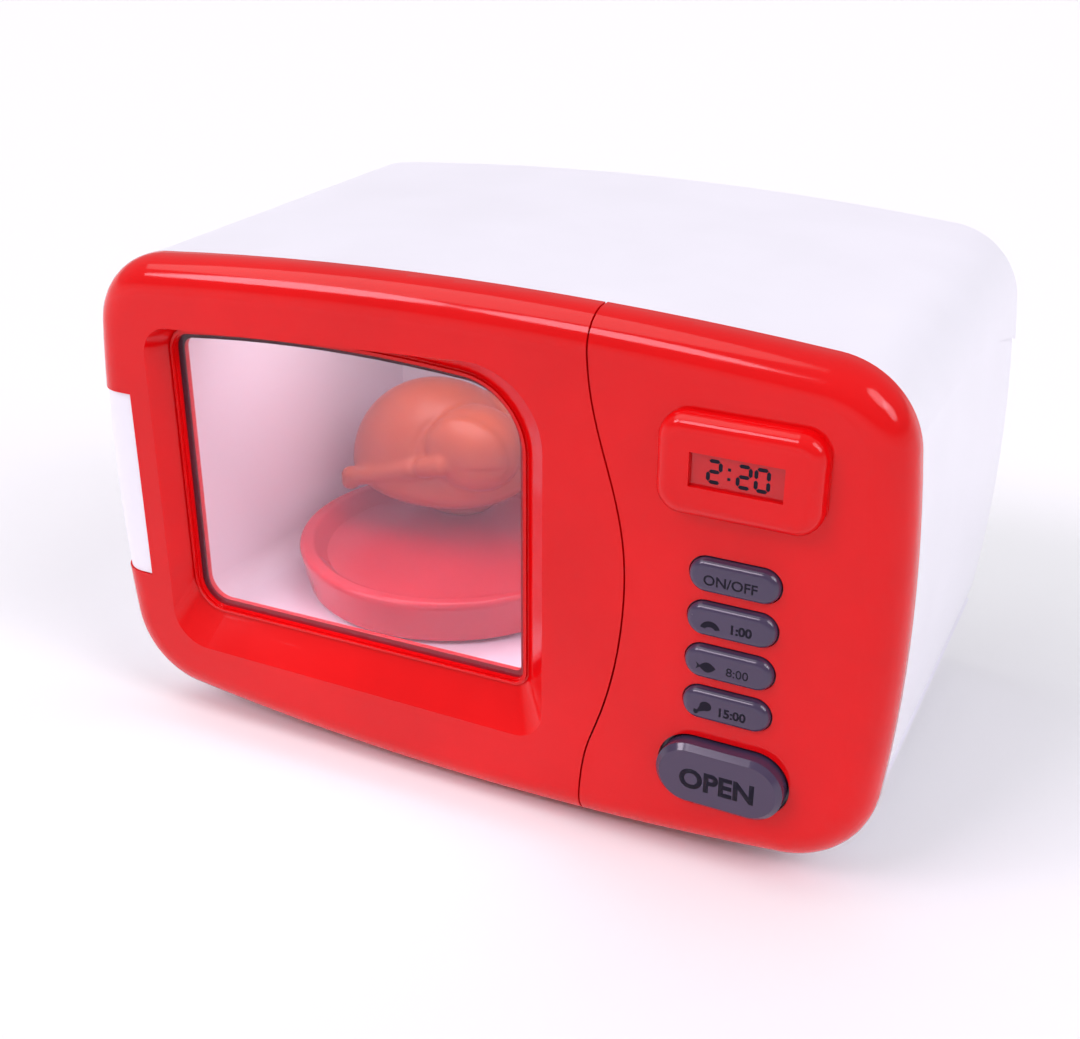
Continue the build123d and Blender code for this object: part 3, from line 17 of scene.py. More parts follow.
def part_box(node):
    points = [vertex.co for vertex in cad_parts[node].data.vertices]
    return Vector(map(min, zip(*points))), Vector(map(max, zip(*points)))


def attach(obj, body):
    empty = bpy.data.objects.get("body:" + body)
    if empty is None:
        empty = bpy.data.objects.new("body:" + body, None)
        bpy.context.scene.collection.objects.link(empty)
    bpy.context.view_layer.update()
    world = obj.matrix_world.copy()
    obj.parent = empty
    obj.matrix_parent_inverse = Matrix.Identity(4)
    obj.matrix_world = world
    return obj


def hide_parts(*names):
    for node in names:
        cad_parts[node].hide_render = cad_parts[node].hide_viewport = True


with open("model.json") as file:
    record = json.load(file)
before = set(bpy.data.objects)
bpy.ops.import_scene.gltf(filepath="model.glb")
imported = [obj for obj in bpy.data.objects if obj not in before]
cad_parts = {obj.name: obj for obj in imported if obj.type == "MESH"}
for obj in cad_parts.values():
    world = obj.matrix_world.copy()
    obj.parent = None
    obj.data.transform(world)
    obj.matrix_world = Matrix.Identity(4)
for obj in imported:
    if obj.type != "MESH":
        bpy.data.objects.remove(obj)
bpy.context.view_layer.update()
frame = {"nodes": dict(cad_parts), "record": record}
nodes = frame["nodes"]
MM = 0.001

# %% [markdown]
# Four short helpers take up what every section repeats: an object goes into the scene, a bmesh
# becomes a mesh, a helper object's evaluated shape is kept and the helper removed, and a
# finished mesh becomes a piece with a finish, a body that carries it and a material slot.

# %% Scene helpers
def link(thing):
    """Puts an object into the scene and hands it back."""
    bpy.context.scene.collection.objects.link(thing)
    return thing


def mesh_of(name, build):
    """Writes a bmesh to a new mesh and frees it."""
    mesh = bpy.data.meshes.new(name)
    build.to_mesh(mesh)
    build.free()
    return mesh


def evaluated_mesh(holder):
    """Returns the mesh that an object shows, and removes the object."""
    depsgraph = bpy.context.evaluated_depsgraph_get()
    mesh = bpy.data.meshes.new_from_object(holder.evaluated_get(depsgraph))
    bpy.data.objects.remove(holder)
    return mesh


def place(name, mesh, body, finish):
    """Makes a piece of a finished mesh, gives it its finish and lets it ride on a body."""
    mesh.materials.append(finish)
    piece = link(bpy.data.objects.new(name, mesh))
    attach(piece, body)
    return piece


# %% Node helpers
def wire(tree, start, end):
    """Joins an output socket to an input socket."""
    tree.links.new(start, end)


def feed(tree, value, socket):
    """Gives an input socket its value: a wire from another socket, or a number."""
    if isinstance(value, bpy.types.NodeSocket):
        wire(tree, value, socket)
    else:
        socket.default_value = value


def noise(tree, vector, scale, detail, spot):
    """Adds a noise texture that reads the given vector."""
    node = tree.nodes.new("ShaderNodeTexNoise")
    node.inputs["Scale"].default_value = scale
    node.inputs["Detail"].default_value = detail
    node.location = spot
    wire(tree, vector, node.inputs["Vector"])
    return node


def spread(tree, value, low, high, to_low, to_high, spot):
    """Adds a Map Range node that maps a value from one range to another, clamped."""
    node = tree.nodes.new("ShaderNodeMapRange")
    for socket, number in (("From Min", low), ("From Max", high), ("To Min", to_low), ("To Max", to_high)):
        feed(tree, number, node.inputs[socket])
    wire(tree, value, node.inputs["Value"])
    node.location = spot
    return node


def arithmetic(tree, kind, first, second, spot):
    """Adds a Math node on two values, each a socket or a number."""
    node = tree.nodes.new("ShaderNodeMath")
    node.operation = kind
    for index, value in enumerate((first, second)):
        feed(tree, value, node.inputs[index])
    node.location = spot
    return node


print("helpers ready")

# %% [markdown]
# The camera stands to the right of the toy and looks down on it, close enough that the near
# corner looks much larger than the far one. Its place was fitted to the corners and seams of
# the front, so the lens and the roll are not round numbers. A long lens from far away would
# show the same faces, but it would lose the strong taper towards the hinge side.

# %% Camera
camera_data = bpy.data.cameras.new("camera")
camera_data.lens = 48.58
camera_data.sensor_width = 36.0
camera_data.sensor_fit = "HORIZONTAL"
camera = link(bpy.data.objects.new("camera", camera_data))
aim = Euler((math.radians(64.649), 0, math.radians(26.237))).to_matrix()
roll = Matrix.Rotation(math.radians(0.182), 3, "Z")
camera.matrix_world = Matrix.Translation((0.2035, -0.4292, 0.2930)) @ (aim @ roll).to_4x4()
bpy.context.scene.camera = camera
print("camera at", tuple(round(v, 3) for v in camera.location))

# %% [markdown]
# The toy stands on a white floor that runs on far behind it. A pale world, brighter overhead,
# lights all sides alike, and a bright belt in it at the horizon carries the floor's white on in
# a low view. The Standard view transform keeps the red as saturated as glossy plastic looks
# under flat light.

# %% Floor
bpy.context.scene.view_settings.view_transform = "Standard"
bpy.context.scene.view_settings.look = "None"

FLOOR_REACH = 60.0
build = bmesh.new()
bmesh.ops.create_grid(build, x_segments=1, y_segments=1, size=FLOOR_REACH)
floor = link(bpy.data.objects.new("floor", mesh_of("floor", build)))
floor_paint = bpy.data.materials.new("floor_paper")
floor_paint.use_nodes = True
paper = floor_paint.node_tree.nodes["Principled BSDF"]
paper.inputs["Base Color"].default_value = (0.90, 0.90, 0.91, 1)
paper.inputs["Roughness"].default_value = 0.9
paper.inputs["Specular IOR Level"].default_value = 0.1
floor.data.materials.append(floor_paint)
print("floor:", 2 * FLOOR_REACH, "m wide")

# %% World
world = bpy.data.worlds.new("studio")
world.use_nodes = True
sky = world.node_tree
backdrop = sky.nodes["Background"]
backdrop.inputs["Color"].default_value = (0.97, 0.97, 1.0, 1)
direction = sky.nodes.new("ShaderNodeTexCoord")
parts = sky.nodes.new("ShaderNodeSeparateXYZ")
wire(sky, direction.outputs["Generated"], parts.inputs["Vector"])
rise = spread(sky, parts.outputs["Z"], 0.0, 1.0, 0.30, 0.64, (-400, 100))
belt = spread(sky, parts.outputs["Z"], 0.08, 0.20, 0.55, 0.0, (-400, -200))
strength = arithmetic(sky, "ADD", rise.outputs["Result"], belt.outputs["Result"], (-200, 0))
wire(sky, strength.outputs["Value"], backdrop.inputs["Strength"])
bpy.context.scene.world = world
print("world:", world.name)

# %% [markdown]
# One wide soft sun above and to the left gives the shadow. A rounded edge mirrors a lamp only
# where its slope turns the view that way, so two narrow suns, side by side and lower in front,
# draw one pink band along the top of the red front, and one on the right marks its upper right
# corner. A fill brightens the white side. Suns light the floor evenly, so it stays white to the
# edges of the picture. A small panel under the oven's ceiling stands for its own lamp.
#
# Each sun has the direction it shines from, its width in degrees, its strength and its colour.

# %% Lamps
suns = {
    "soft_sun": ((-0.46, -0.15, 0.87), 40, 0.62, (1.0, 1.0, 1.0)),
    "band_sun_left": ((-0.60, -0.53, 0.60), 17, 0.62, (1.0, 0.86, 1.0)),
    "band_sun_right": ((-0.33, -0.66, 0.68), 17, 0.56, (1.0, 0.86, 1.0)),
    "corner_sun": ((0.66, -0.20, 0.72), 24, 0.62, (1.0, 0.93, 1.0)),
    "side_fill": ((0.84, -0.10, 0.53), 20, 0.50, (0.93, 0.90, 1.0)),
}
for name, (shines_from, width, energy, colour) in suns.items():
    data = bpy.data.lights.new(name, "SUN")
    data.angle = math.radians(width)
    data.energy = energy
    data.color = colour
    lamp = link(bpy.data.objects.new(name, data))
    lamp.matrix_world = Vector(shines_from).to_track_quat("Z", "Y").to_matrix().to_4x4()

glow = bpy.data.lights.new("cavity_glow", "AREA")
glow.shape = "RECTANGLE"
glow.size, glow.size_y = 0.10, 0.06
glow.energy = 0.060
glow.color = (0.99, 0.93, 1.0)
glow_lamp = link(bpy.data.objects.new("cavity_glow", glow))
downwards = Vector((0, 0, -1)).to_track_quat("-Z", "Y").to_matrix().to_4x4()
glow_lamp.matrix_world = Matrix.Translation((-0.045, -0.02, 0.150)) @ downwards
print("lamps:", ", ".join([*suns, glow_lamp.name]))

# %% [markdown]
# Moulded plastic is never one even colour. The melt flows and cools unevenly, so the colour
# drifts a little over a few centimetres, the gloss is broken by a faint orange-peel ripple,
# and hands leave hairline scratches that catch the light. All plastics here share this, so it
# is one shader node group with its amounts as inputs. It reads Object coordinates, which are
# metres in the toy's own frame, so the grain has one real scale on every piece.

# %% The group for moulded plastic
def make_moulding_group():
    """Builds the group that every plastic uses: colour drift, ripple and hairline scratches."""
    tree = bpy.data.node_groups.new("moulded_finish", "ShaderNodeTree")
    face = tree.interface
    face.new_socket("Vector", in_out="INPUT", socket_type="NodeSocketVector")
    face.new_socket("Colour", in_out="INPUT", socket_type="NodeSocketColor")
    for name, value in (("Drift", 0.06), ("Roughness", 0.2), ("Scuffs", 0.1), ("Ripple", 0.3)):
        socket = face.new_socket(name, in_out="INPUT", socket_type="NodeSocketFloat")
        socket.default_value = value
    face.new_socket("Colour", in_out="OUTPUT", socket_type="NodeSocketColor")
    face.new_socket("Roughness", in_out="OUTPUT", socket_type="NodeSocketFloat")
    face.new_socket("Height", in_out="OUTPUT", socket_type="NodeSocketFloat")
    given = tree.nodes.new("NodeGroupInput")
    given.location = (-900, 0)
    made = tree.nodes.new("NodeGroupOutput")
    made.location = (700, 0)

    # The colour drifts by a share of its value, over a few centimetres
    flow = noise(tree, given.outputs["Vector"], 22.0, 3.0, (-650, 300))
    shade = spread(tree, flow.outputs["Fac"], 0.35, 0.65, -1.0, 1.0, (-450, 300))
    change = arithmetic(tree, "MULTIPLY", shade.outputs["Result"], given.outputs["Drift"], (-250, 300))
    light = arithmetic(tree, "ADD", change.outputs["Value"], 1.0, (-50, 300))
    tint = tree.nodes.new("ShaderNodeHueSaturation")
    tint.location = (150, 300)
    wire(tree, given.outputs["Colour"], tint.inputs["Color"])
    wire(tree, light.outputs["Value"], tint.inputs["Value"])
    wire(tree, tint.outputs["Color"], made.inputs["Colour"])

    # Hairlines are a noise stretched along one direction, seen only in worn patches
    streak = tree.nodes.new("ShaderNodeMapping")
    streak.inputs["Rotation"].default_value = (0.3, 0.5, 0.7)
    streak.inputs["Scale"].default_value = (40.0, 900.0, 400.0)
    streak.location = (-650, -50)
    wire(tree, given.outputs["Vector"], streak.inputs["Vector"])
    hair = noise(tree, streak.outputs["Vector"], 1.0, 1.0, (-450, -50))
    scratch = spread(tree, hair.outputs["Fac"], 0.66, 0.72, 0.0, 1.0, (-250, -50))
    patch = noise(tree, given.outputs["Vector"], 45.0, 2.0, (-450, -250))
    worn = spread(tree, patch.outputs["Fac"], 0.45, 0.7, 0.0, 1.0, (-250, -250))
    marks = arithmetic(tree, "MULTIPLY", scratch.outputs["Result"], worn.outputs["Result"], (-50, -100))
    dull = arithmetic(tree, "MULTIPLY", marks.outputs["Value"], given.outputs["Scuffs"], (120, -100))
    haze = arithmetic(tree, "MULTIPLY", worn.outputs["Result"], given.outputs["Scuffs"], (120, -250))
    slight = arithmetic(tree, "MULTIPLY", haze.outputs["Value"], 0.25, (280, -250))
    total = arithmetic(tree, "ADD", dull.outputs["Value"], slight.outputs["Value"], (420, -150))
    rough = arithmetic(tree, "ADD", total.outputs["Value"], given.outputs["Roughness"], (540, -60))
    wire(tree, rough.outputs["Value"], made.inputs["Roughness"])

    # The relief is a fine orange peel on top of wider, deeper sink marks
    peel = noise(tree, given.outputs["Vector"], 420.0, 2.0, (-450, -500))
    sink = noise(tree, given.outputs["Vector"], 60.0, 1.0, (-450, -700))
    sink_part = arithmetic(tree, "MULTIPLY", sink.outputs["Fac"], 3.0, (-250, -700))
    relief = arithmetic(tree, "ADD", peel.outputs["Fac"], sink_part.outputs["Value"], (-50, -550))
    height = arithmetic(tree, "MULTIPLY", relief.outputs["Value"], given.outputs["Ripple"], (120, -550))
    wire(tree, height.outputs["Value"], made.inputs["Height"])
    return tree


moulding_group = make_moulding_group()
print("group:", moulding_group.name, "with", len(moulding_group.nodes), "nodes")


# %% A material from the group
def plastic(name, colour, roughness, drift=0.05, scuffs=0.12, ripple=0.25, shine=0.5, subsurface=0.0):
    """Makes a moulded plastic of one colour, with the shared finish group."""
    material = bpy.data.materials.new(name)
    material.use_nodes = True
    tree = material.node_tree
    shader = tree.nodes["Principled BSDF"]
    where = tree.nodes.new("ShaderNodeTexCoord")
    where.location = (-900, 0)
    group = tree.nodes.new("ShaderNodeGroup")
    group.node_tree = moulding_group
    group.location = (-600, 0)
    wire(tree, where.outputs["Object"], group.inputs["Vector"])
    group.inputs["Colour"].default_value = (*colour, 1)
    group.inputs["Drift"].default_value = drift
    group.inputs["Roughness"].default_value = roughness
    group.inputs["Scuffs"].default_value = scuffs
    group.inputs["Ripple"].default_value = ripple
    bump = tree.nodes.new("ShaderNodeBump")
    bump.inputs["Distance"].default_value = 0.02 * MM
    bump.inputs["Strength"].default_value = 0.5
    bump.location = (-300, -200)
    wire(tree, group.outputs["Height"], bump.inputs["Height"])
    wire(tree, group.outputs["Colour"], shader.inputs["Base Color"])
    wire(tree, group.outputs["Roughness"], shader.inputs["Roughness"])
    wire(tree, bump.outputs["Normal"], shader.inputs["Normal"])
    shader.inputs["Specular IOR Level"].default_value = shine
    shader.inputs["Subsurface Weight"].default_value = subsurface
    shader.inputs["Subsurface Radius"].default_value = (0.004, 0.002, 0.002)
    shader.inputs["Subsurface Scale"].default_value = 1.0
    return material


finishes = {
    "red_plastic": plastic("red_gloss", (0.70, 0.0015, 0.003), 0.08, shine=0.32),
    "dish_plastic": plastic("dish_red", (0.62, 0.004, 0.014), 0.16, shine=0.5),
    "white_plastic": plastic("white_satin", (0.87, 0.86, 0.92), 0.32, drift=0.012, shine=0.35),
    "slate_plastic": plastic("slate_satin", (0.050, 0.034, 0.076), 0.14, drift=0.06, shine=0.55),
    "dark_plastic": plastic("dark_matte", (0.03, 0.03, 0.035), 0.5),
    "orange_plastic": plastic("chicken_orange", (0.48, 0.082, 0.010), 0.36, drift=0.10, subsurface=0.12),
    "inner_plastic": plastic("inner_white", (0.72, 0.72, 0.74), 0.5),
    "gear_nylon": plastic("gear_nylon", (0.82, 0.81, 0.74), 0.45),
    "board_green": plastic("board_green", (0.02, 0.17, 0.06), 0.35),
    "membrane_rubber": plastic("membrane_grey", (0.35, 0.35, 0.36), 0.7),
    "foot_rubber": plastic("foot_grey", (0.5, 0.5, 0.52), 0.7),
    "cell_wrap": plastic("cell_wrap", (0.03, 0.05, 0.16), 0.25),
    "lamp_clear": plastic("lamp_clear", (0.9, 0.88, 0.8), 0.2),
    "print_dark": plastic("print_dark", (0.008, 0.006, 0.016), 0.5, scuffs=0.2, shine=0.15),
}
print("plastics:", len(finishes))

# %% [markdown]
# Steel is the same material with its colour turned metallic. The pane and the display's lens
# pass light with a tint, under a thin veil of a dull colour: toy plastic is never as clear as
# glass, and the veil is what the eye reads as a window in front of the oven. On the pane the
# veil's pale pink is a painted reflection of the red door around the window. Shadow rays go
# straight through, so that the lamps reach the oven behind the pane.

# %% Steel, the pane and the display
def brushed_steel():
    """Makes the bright steel of screws, pins, springs and contacts."""
    material = plastic("bright_steel", (0.62, 0.62, 0.64), 0.3, drift=0.1, scuffs=0.3, ripple=0.6)
    material.node_tree.nodes["Principled BSDF"].inputs["Metallic"].default_value = 1.0
    return material


def clear(name, tint, roughness, haze, veil):
    """Makes a clear plastic: light passes with its tint, under a dull veil of the haze's colour, which on
    the pane is a painted reflection.
    """
    material = plastic(name, haze, roughness, drift=0.0, scuffs=0.05, ripple=0.1)
    tree = material.node_tree
    body = tree.nodes["Principled BSDF"]
    glass = tree.nodes.new("ShaderNodeBsdfPrincipled")
    glass.inputs["Base Color"].default_value = (*tint, 1)
    glass.inputs["Transmission Weight"].default_value = 1.0
    glass.inputs["IOR"].default_value = 1.40
    glass.inputs["Roughness"].default_value = roughness
    dull = tree.nodes.new("ShaderNodeMixShader")
    dull.inputs["Fac"].default_value = veil
    wire(tree, glass.outputs["BSDF"], dull.inputs[1])
    wire(tree, body.outputs["BSDF"], dull.inputs[2])
    rays = tree.nodes.new("ShaderNodeLightPath")
    through = tree.nodes.new("ShaderNodeBsdfTransparent")
    through.inputs["Color"].default_value = (*tint, 1)
    blend = tree.nodes.new("ShaderNodeMixShader")
    wire(tree, rays.outputs["Is Shadow Ray"], blend.inputs["Fac"])
    wire(tree, dull.outputs["Shader"], blend.inputs[1])
    wire(tree, through.outputs["BSDF"], blend.inputs[2])
    wire(tree, blend.outputs["Shader"], tree.nodes["Material Output"].inputs["Surface"])
    return material


finishes["steel"] = brushed_steel()
# The pane's pink veil colour is a painted reflection of the red door around the window.
finishes["clear_pane"] = clear("clear_pane", (1.0, 0.92, 0.94), 0.03, (0.9, 0.42, 0.7), 0.045)
finishes["display_red"] = clear("display_red", (0.90, 0.10, 0.11), 0.08, (0.62, 0.006, 0.010), 0.85)
print("finishes:", len(finishes))

# %% [markdown]
# The CAD record names a material slot for every node, and each slot has one finish. Only the
# dish differs: it is a duller, cooler red than the front.

# %% Dress the CAD nodes
finish_of = {part["node"]: part["material_slot"] for part in frame["record"]["subparts"]}
finish_of["turntable"] = "dish_plastic"
for name, node in nodes.items():
    node.data.materials.clear()
    node.data.materials.append(finishes[finish_of[name]])
print("dressed:", len(finish_of), "nodes in", len(set(finish_of.values())), "finishes")

# %% [markdown]
# The buttons carry pad-printed words and small pictures. Each print is a flat film a few
# hundredths of a millimetre thick on the face of its button, and it rides on that button, so
# it goes in when the button is pressed. A font gives the letters. The pictures are drawn as
# closed outlines: a bread roll for one minute, a fish for eight, a drumstick for fifteen.

# %% Helpers for flat prints
FILM = 0.03 * MM
CAPITAL_SHARE = 0.72


def word_mesh(words, height, weight):
    """Returns the triangles of a word, centred on its middle, with capitals of the given height."""
    curve = bpy.data.curves.new("word", "FONT")
    curve.body = words
    curve.size = height / CAPITAL_SHARE
    curve.offset = weight
    curve.align_x = "CENTER"
    curve.resolution_u = 4
    mesh = evaluated_mesh(link(bpy.data.objects.new("word", curve)))
    build = bmesh.new()
    build.from_mesh(mesh)
    bpy.data.meshes.remove(mesh)
    low = min(v.co.y for v in build.verts)
    high = max(v.co.y for v in build.verts)
    left = min(v.co.x for v in build.verts)
    right = max(v.co.x for v in build.verts)
    bmesh.ops.translate(build, verts=build.verts, vec=(-(left + right) / 2, -(low + high) / 2, 0))
    return build


def add_outline(build, points):
    """Adds one flat face from a closed outline of points in the print's plane."""
    build.faces.new([build.verts.new((x, y, 0)) for x, y in points])


def stand_up(build, x, y, z):
    """Turns a flat print to face the front, gives it its film thickness and puts it in its place."""
    bmesh.ops.recalc_face_normals(build, faces=build.faces)
    made = bmesh.ops.extrude_face_region(build, geom=build.faces[:])
    raised = [item for item in made["geom"] if isinstance(item, bmesh.types.BMVert)]
    bmesh.ops.translate(build, verts=raised, vec=(0, 0, FILM))
    bmesh.ops.transform(build, verts=build.verts, matrix=Matrix.Rotation(math.pi / 2, 4, "X"))
    bmesh.ops.translate(build, verts=build.verts, vec=(x, y + FILM / 2, z))
    bmesh.ops.recalc_face_normals(build, faces=build.faces)


# %% The pictures, as shares of their width
def roll_outline(width):
    """Returns a bread roll: a crescent that hangs over its own hollow."""
    outer = [(math.cos(t), math.sin(t)) for t in (math.radians(15 + 150 * i / 16) for i in range(17))]
    inner = [(0.52 * math.cos(t), 0.38 * math.sin(t))
             for t in (math.radians(160 - 140 * i / 12) for i in range(13))]
    return [(0.5 * width * x, 0.5 * width * (y - 0.62)) for x, y in outer + inner]


def fish_outline(width):
    """Returns a fish that swims to the right, with its tail on the left."""
    back = [(-0.30 + 0.80 * i / 10, 0.27 * math.sin(math.pi * (0.06 + 0.94 * i / 10))) for i in range(11)]
    belly = [(x, -y) for x, y in reversed(back)][1:]
    tail = [(-0.50, -0.20), (-0.42, 0.0), (-0.50, 0.20)]
    return [(width * x, width * y) for x, y in back + belly + tail]


def drumstick_outline(width):
    """Returns a drumstick whose bone points down to the left."""
    meat = [(0.14 + 0.30 * math.cos(t), 0.14 + 0.26 * math.sin(t))
            for t in (math.radians(-100 + 290 * i / 18) for i in range(19))]
    bone = [(-0.28, -0.14), (-0.44, -0.10), (-0.46, -0.26), (-0.36, -0.40), (-0.24, -0.34), (-0.20, -0.24)]
    return [(width * x, width * y) for x, y in meat + bone]


# %% [markdown]
# Each print has its body, its word, the word's height, how much bolder than the font its strokes
# are and how far right it stands, then its picture and how far right that stands. All lengths
# are millimetres. The prints sit a little below the middle of their buttons.

# %% Print the buttons
PICTURE_WIDE = 6.2 * MM
PRINT_DROP = 0.7 * MM
prints = {
    "on_off": ("on_off_key", "ON/OFF", 3.2, 0.08, -0.6, None, 0),
    "one_minute": ("one_minute_key", "1:00", 2.9, 0.16, 3.6, roll_outline, -5.8),
    "eight_minute": ("eight_minute_key", "8:00", 2.9, 0.03, 3.2, fish_outline, -6.4),
    "fifteen_minute": ("fifteen_minute_key", "15:00", 2.9, 0.14, 2.6, drumstick_outline, -6.6),
    "open": ("open_button", "OPEN", 6.6, 0.34, 0.0, None, 0),
}
for key, (body, words, height, weight, shift, picture, picture_shift) in prints.items():
    low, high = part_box(f"{key}_button")
    build = word_mesh(words, height * MM, weight * MM)
    bmesh.ops.translate(build, verts=build.verts, vec=(shift * MM, 0, 0))
    if picture:
        drawn = bmesh.new()
        add_outline(drawn, picture(PICTURE_WIDE))
        bmesh.ops.translate(drawn, verts=drawn.verts, vec=(picture_shift * MM, 0, 0))
        scrap = mesh_of("picture", drawn)
        build.from_mesh(scrap)
        bpy.data.meshes.remove(scrap)
    stand_up(build, (low.x + high.x) / 2, low.y, (low.z + high.z) / 2 - PRINT_DROP)
    place(f"print_{key}", mesh_of(f"print_{key}", build), body, finishes["print_dark"])
print("prints:", ", ".join(prints))

# %% [markdown]
# The display shows a time in seven-segment digits. Every digit lights some of the same seven
# bars, so one table of lit bars per digit draws them all. The bars are a dark film on the red
# lens, and keep a small gap between each other as real ones do.

# %% Bars of a digit
DIGIT_WIDE = 3.5 * MM
DIGIT_TALL = 6.2 * MM
BAR = 1.15 * MM
BAR_GAP = 0.12 * MM
bars = {
    "top": ((0, 1), (1, 1)), "upper_left": ((0, 0.5), (0, 1)), "upper_right": ((1, 0.5), (1, 1)),
    "middle": ((0, 0.5), (1, 0.5)), "lower_left": ((0, 0), (0, 0.5)), "lower_right": ((1, 0), (1, 0.5)),
    "bottom": ((0, 0), (1, 0)),
}
lit = {
    "2": ("top", "upper_right", "middle", "lower_left", "bottom"),
    "0": ("top", "upper_left", "upper_right", "lower_left", "lower_right", "bottom"),
}


def add_bar(build, start, end):
    """Adds one bar with pointed ends between two corners of a digit."""
    run = (end - start).normalized()
    side = Vector((-run.y, run.x)) * BAR / 2
    first = start + run * BAR_GAP
    last = end - run * BAR_GAP
    tip = run * BAR / 2
    add_outline(build, [tuple(p) for p in (first, first + tip + side, last - tip + side, last,
                                           last - tip - side, first + tip - side)])


# %% Display digits, with their places across the lens in millimetres
DIGIT_LEFTS = (("2", -8.3), ("2", 0.2), ("0", 5.3))
COLON_MIDDLE = -2.3
COLON_LEVELS = (-1.4, 1.4)
DOT_HALF = 0.45
build = bmesh.new()
for digit, left in DIGIT_LEFTS:
    corner = Vector((left * MM, -DIGIT_TALL / 2))
    for name in lit[digit]:
        ends = [corner + Vector((x * DIGIT_WIDE, y * DIGIT_TALL)) for x, y in bars[name]]
        add_bar(build, *ends)
for level in COLON_LEVELS:
    add_outline(build, [((COLON_MIDDLE + DOT_HALF * x) * MM, (level + DOT_HALF * y) * MM)
                        for x, y in ((-1, -1), (1, -1), (1, 1), (-1, 1))])
lens_low, lens_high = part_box("display_lens")
stand_up(build, (lens_low.x + lens_high.x) / 2, lens_low.y, (lens_low.z + lens_high.z) / 2)
place("display_digits", mesh_of("display_digits", build), "base", finishes["print_dark"])
print("display digits:", *(digit for digit, left in DIGIT_LEFTS))

# %% [markdown]
# The roast is a soft, closed form with no straight line in it, so it is sculpted. Overlapping
# lobes block out the breast, two thighs and two leg bones. Their places are given from the
# middle of the dish's floor, in shares of the dish's radius R.

# %% Helpers for the chicken
DISH_FLOOR = 10.6 * MM
dish_low, dish_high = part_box("turntable")
R = (dish_high.x - dish_low.x) / 2
dish_middle = Vector(((dish_low.x + dish_high.x) / 2, (dish_low.y + dish_high.y) / 2,
                      dish_low.z + DISH_FLOOR))


def on_dish(shares):
    """Returns a place over the dish, given from its floor's middle in shares of its radius."""
    return dish_middle + Vector(shares) * R


def add_lobe(build, middle, radii, belly=1.0):
    """Adds an egg-shaped lobe, whose lower half is belly times as deep as its upper half."""
    matrix = Matrix.Translation(middle) @ Matrix.Diagonal((*radii, 1))
    made = bmesh.ops.create_icosphere(build, subdivisions=5, radius=1.0, matrix=matrix)
    for vert in made["verts"]:
        if vert.co.z < middle.z:
            vert.co.z = middle.z + (vert.co.z - middle.z) * belly


def add_bone(build, knee, foot, thick, thin):
    """Adds a tapering leg bone with a round knee and a knuckled end."""
    run = foot - knee
    along = run.to_track_quat("Z", "X").to_matrix().to_4x4()
    bmesh.ops.create_cone(build, cap_ends=True, segments=40, radius1=thick, radius2=thin, depth=run.length,
                          matrix=Matrix.Translation((knee + foot) / 2) @ along)
    add_lobe(build, knee, (thick * 1.1, thick * 1.1, thick * 1.1))
    for side in (-1, 1):
        add_lobe(build, foot + Vector((0, 0, side * thin * 0.45)), (thin * 1.1, thin * 1.15, thin * 0.95))


# %% Block out the chicken: breast, its seat on the dish, two thighs, two bones
thigh = on_dish((0.085, 0.13, 0.65))
build = bmesh.new()
add_lobe(build, on_dish((-0.29, 0.36, 0.37)), (0.632 * R, 0.48 * R, 0.60 * R), belly=0.38)
add_lobe(build, on_dish((-0.25, 0.50, 0.12)), (0.28 * R, 0.22 * R, 0.14 * R))
add_lobe(build, thigh, (0.34 * R, 0.28 * R, 0.28 * R))
add_lobe(build, on_dish((0.085, 0.58, 0.62)), (0.33 * R, 0.27 * R, 0.27 * R))
add_bone(build, on_dish((-0.01, -0.125, 0.60)), on_dish((-0.765, -0.03, 0.335)), 0.064 * R, 0.058 * R)
add_bone(build, on_dish((-0.10, 0.84, 0.57)), on_dish((-0.74, 0.76, 0.31)), 0.060 * R, 0.058 * R)
blocks = mesh_of("chicken_blocks", build)
print("blocks:", len(blocks.polygons), "faces")

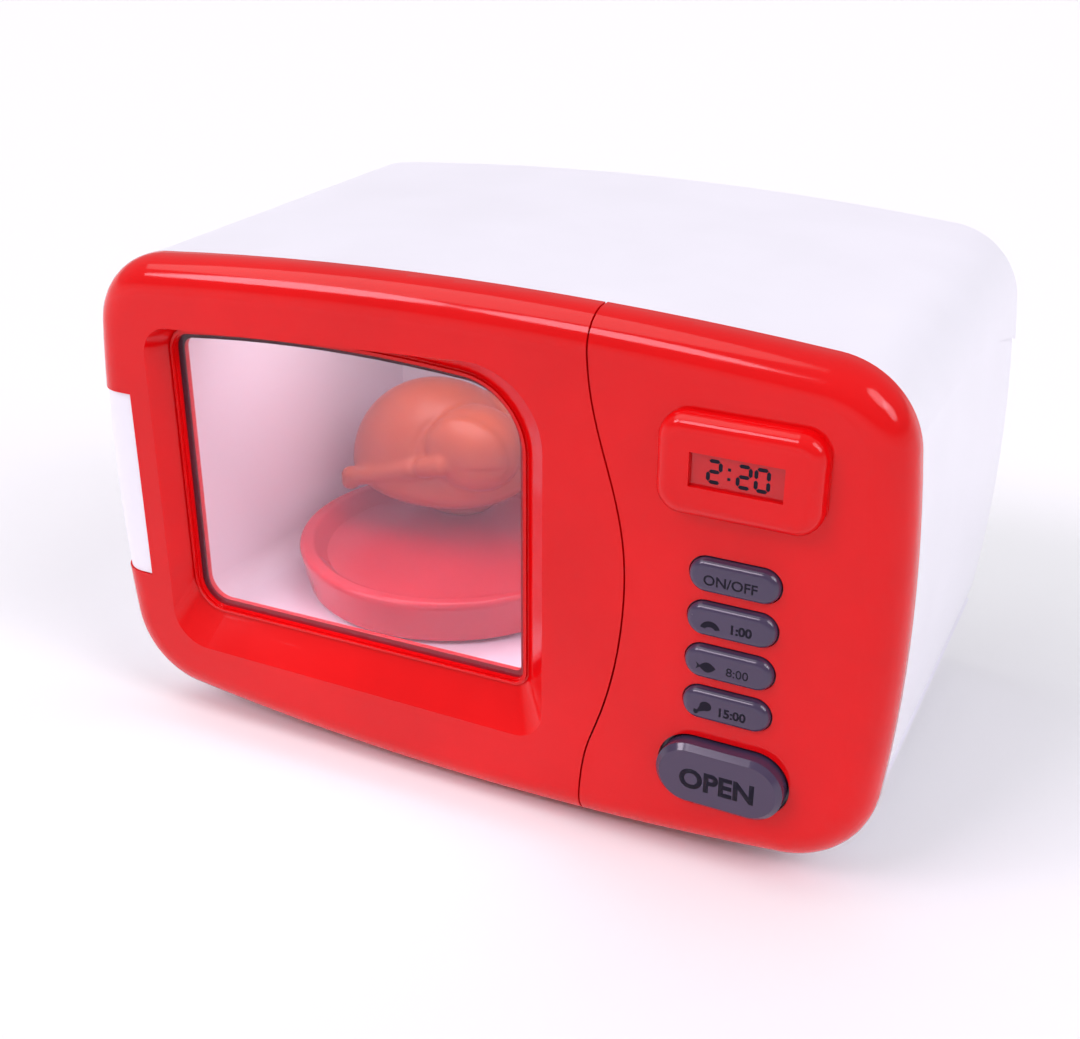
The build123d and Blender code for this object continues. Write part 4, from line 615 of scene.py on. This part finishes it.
# %% [markdown]
# A voxel remesh melts the lobes into one skin. The skin is then worked vertex by vertex: a
# crease is pressed in round the near thigh, a fold runs across it, the underside is flattened
# where it rests on the dish, and a few rounds of smoothing before and after take the edges off.
# It stands for the plain CAD solid of the same size.

# %% Helpers for the skin
VOXEL = 0.75 * MM
EVERY_AXIS = {"use_axis_x": True, "use_axis_y": True, "use_axis_z": True}


def smooth(build, rounds):
    """Smooths all vertices of a bmesh, some rounds in a row."""
    for _ in range(rounds):
        bmesh.ops.smooth_vert(build, verts=build.verts, factor=0.5, **EVERY_AXIS)


def ramp(value, start, width):
    """Returns how far a value has climbed past start, as a share of the width, from 0 to 1."""
    return min(max((value - start) / width, 0), 1)


def groove(distance, half_width, depth):
    """Returns the depth of a soft groove at a distance from its middle line."""
    return math.exp(-(distance / half_width) ** 2) * depth


# %% Melt and work the skin
holder = link(bpy.data.objects.new("chicken_blocks", blocks))
melt = holder.modifiers.new("melt", "REMESH")
melt.mode = "VOXEL"
melt.voxel_size = VOXEL
skin = evaluated_mesh(holder)
bpy.data.meshes.remove(blocks)

build = bmesh.new()
build.from_mesh(skin)
smooth(build, 6)
build.normal_update()
for vert in build.verts:
    away = vert.co - thigh
    near = ramp(-away.y, -0.10 * R, 0.08 * R)
    upper = ramp(away.z, -0.22 * R, 0.12 * R)
    across = ramp(away.x, 0.02 * R, 0.10 * R)
    from_rim = math.hypot(away.x, away.z * 1.21) - 0.325 * R
    crease = near * upper * groove(from_rim, 1.4 * MM, 1.0 * MM)
    fold = near * across * groove(away.z + 0.055 * R, 0.9 * MM, 0.8 * MM)
    vert.co -= vert.normal * max(crease, fold)
smooth(build, 3)
for vert in build.verts:
    vert.co.z = max(vert.co.z, dish_middle.z)
for face in build.faces:
    face.smooth = True
bmesh.ops.recalc_face_normals(build, faces=build.faces)
build.to_mesh(skin)
build.free()
skin.name = "chicken"
chicken = place("chicken", skin, "turntable", finishes["orange_plastic"])
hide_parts("roast_chicken")
print("chicken:", len(skin.polygons), "faces")
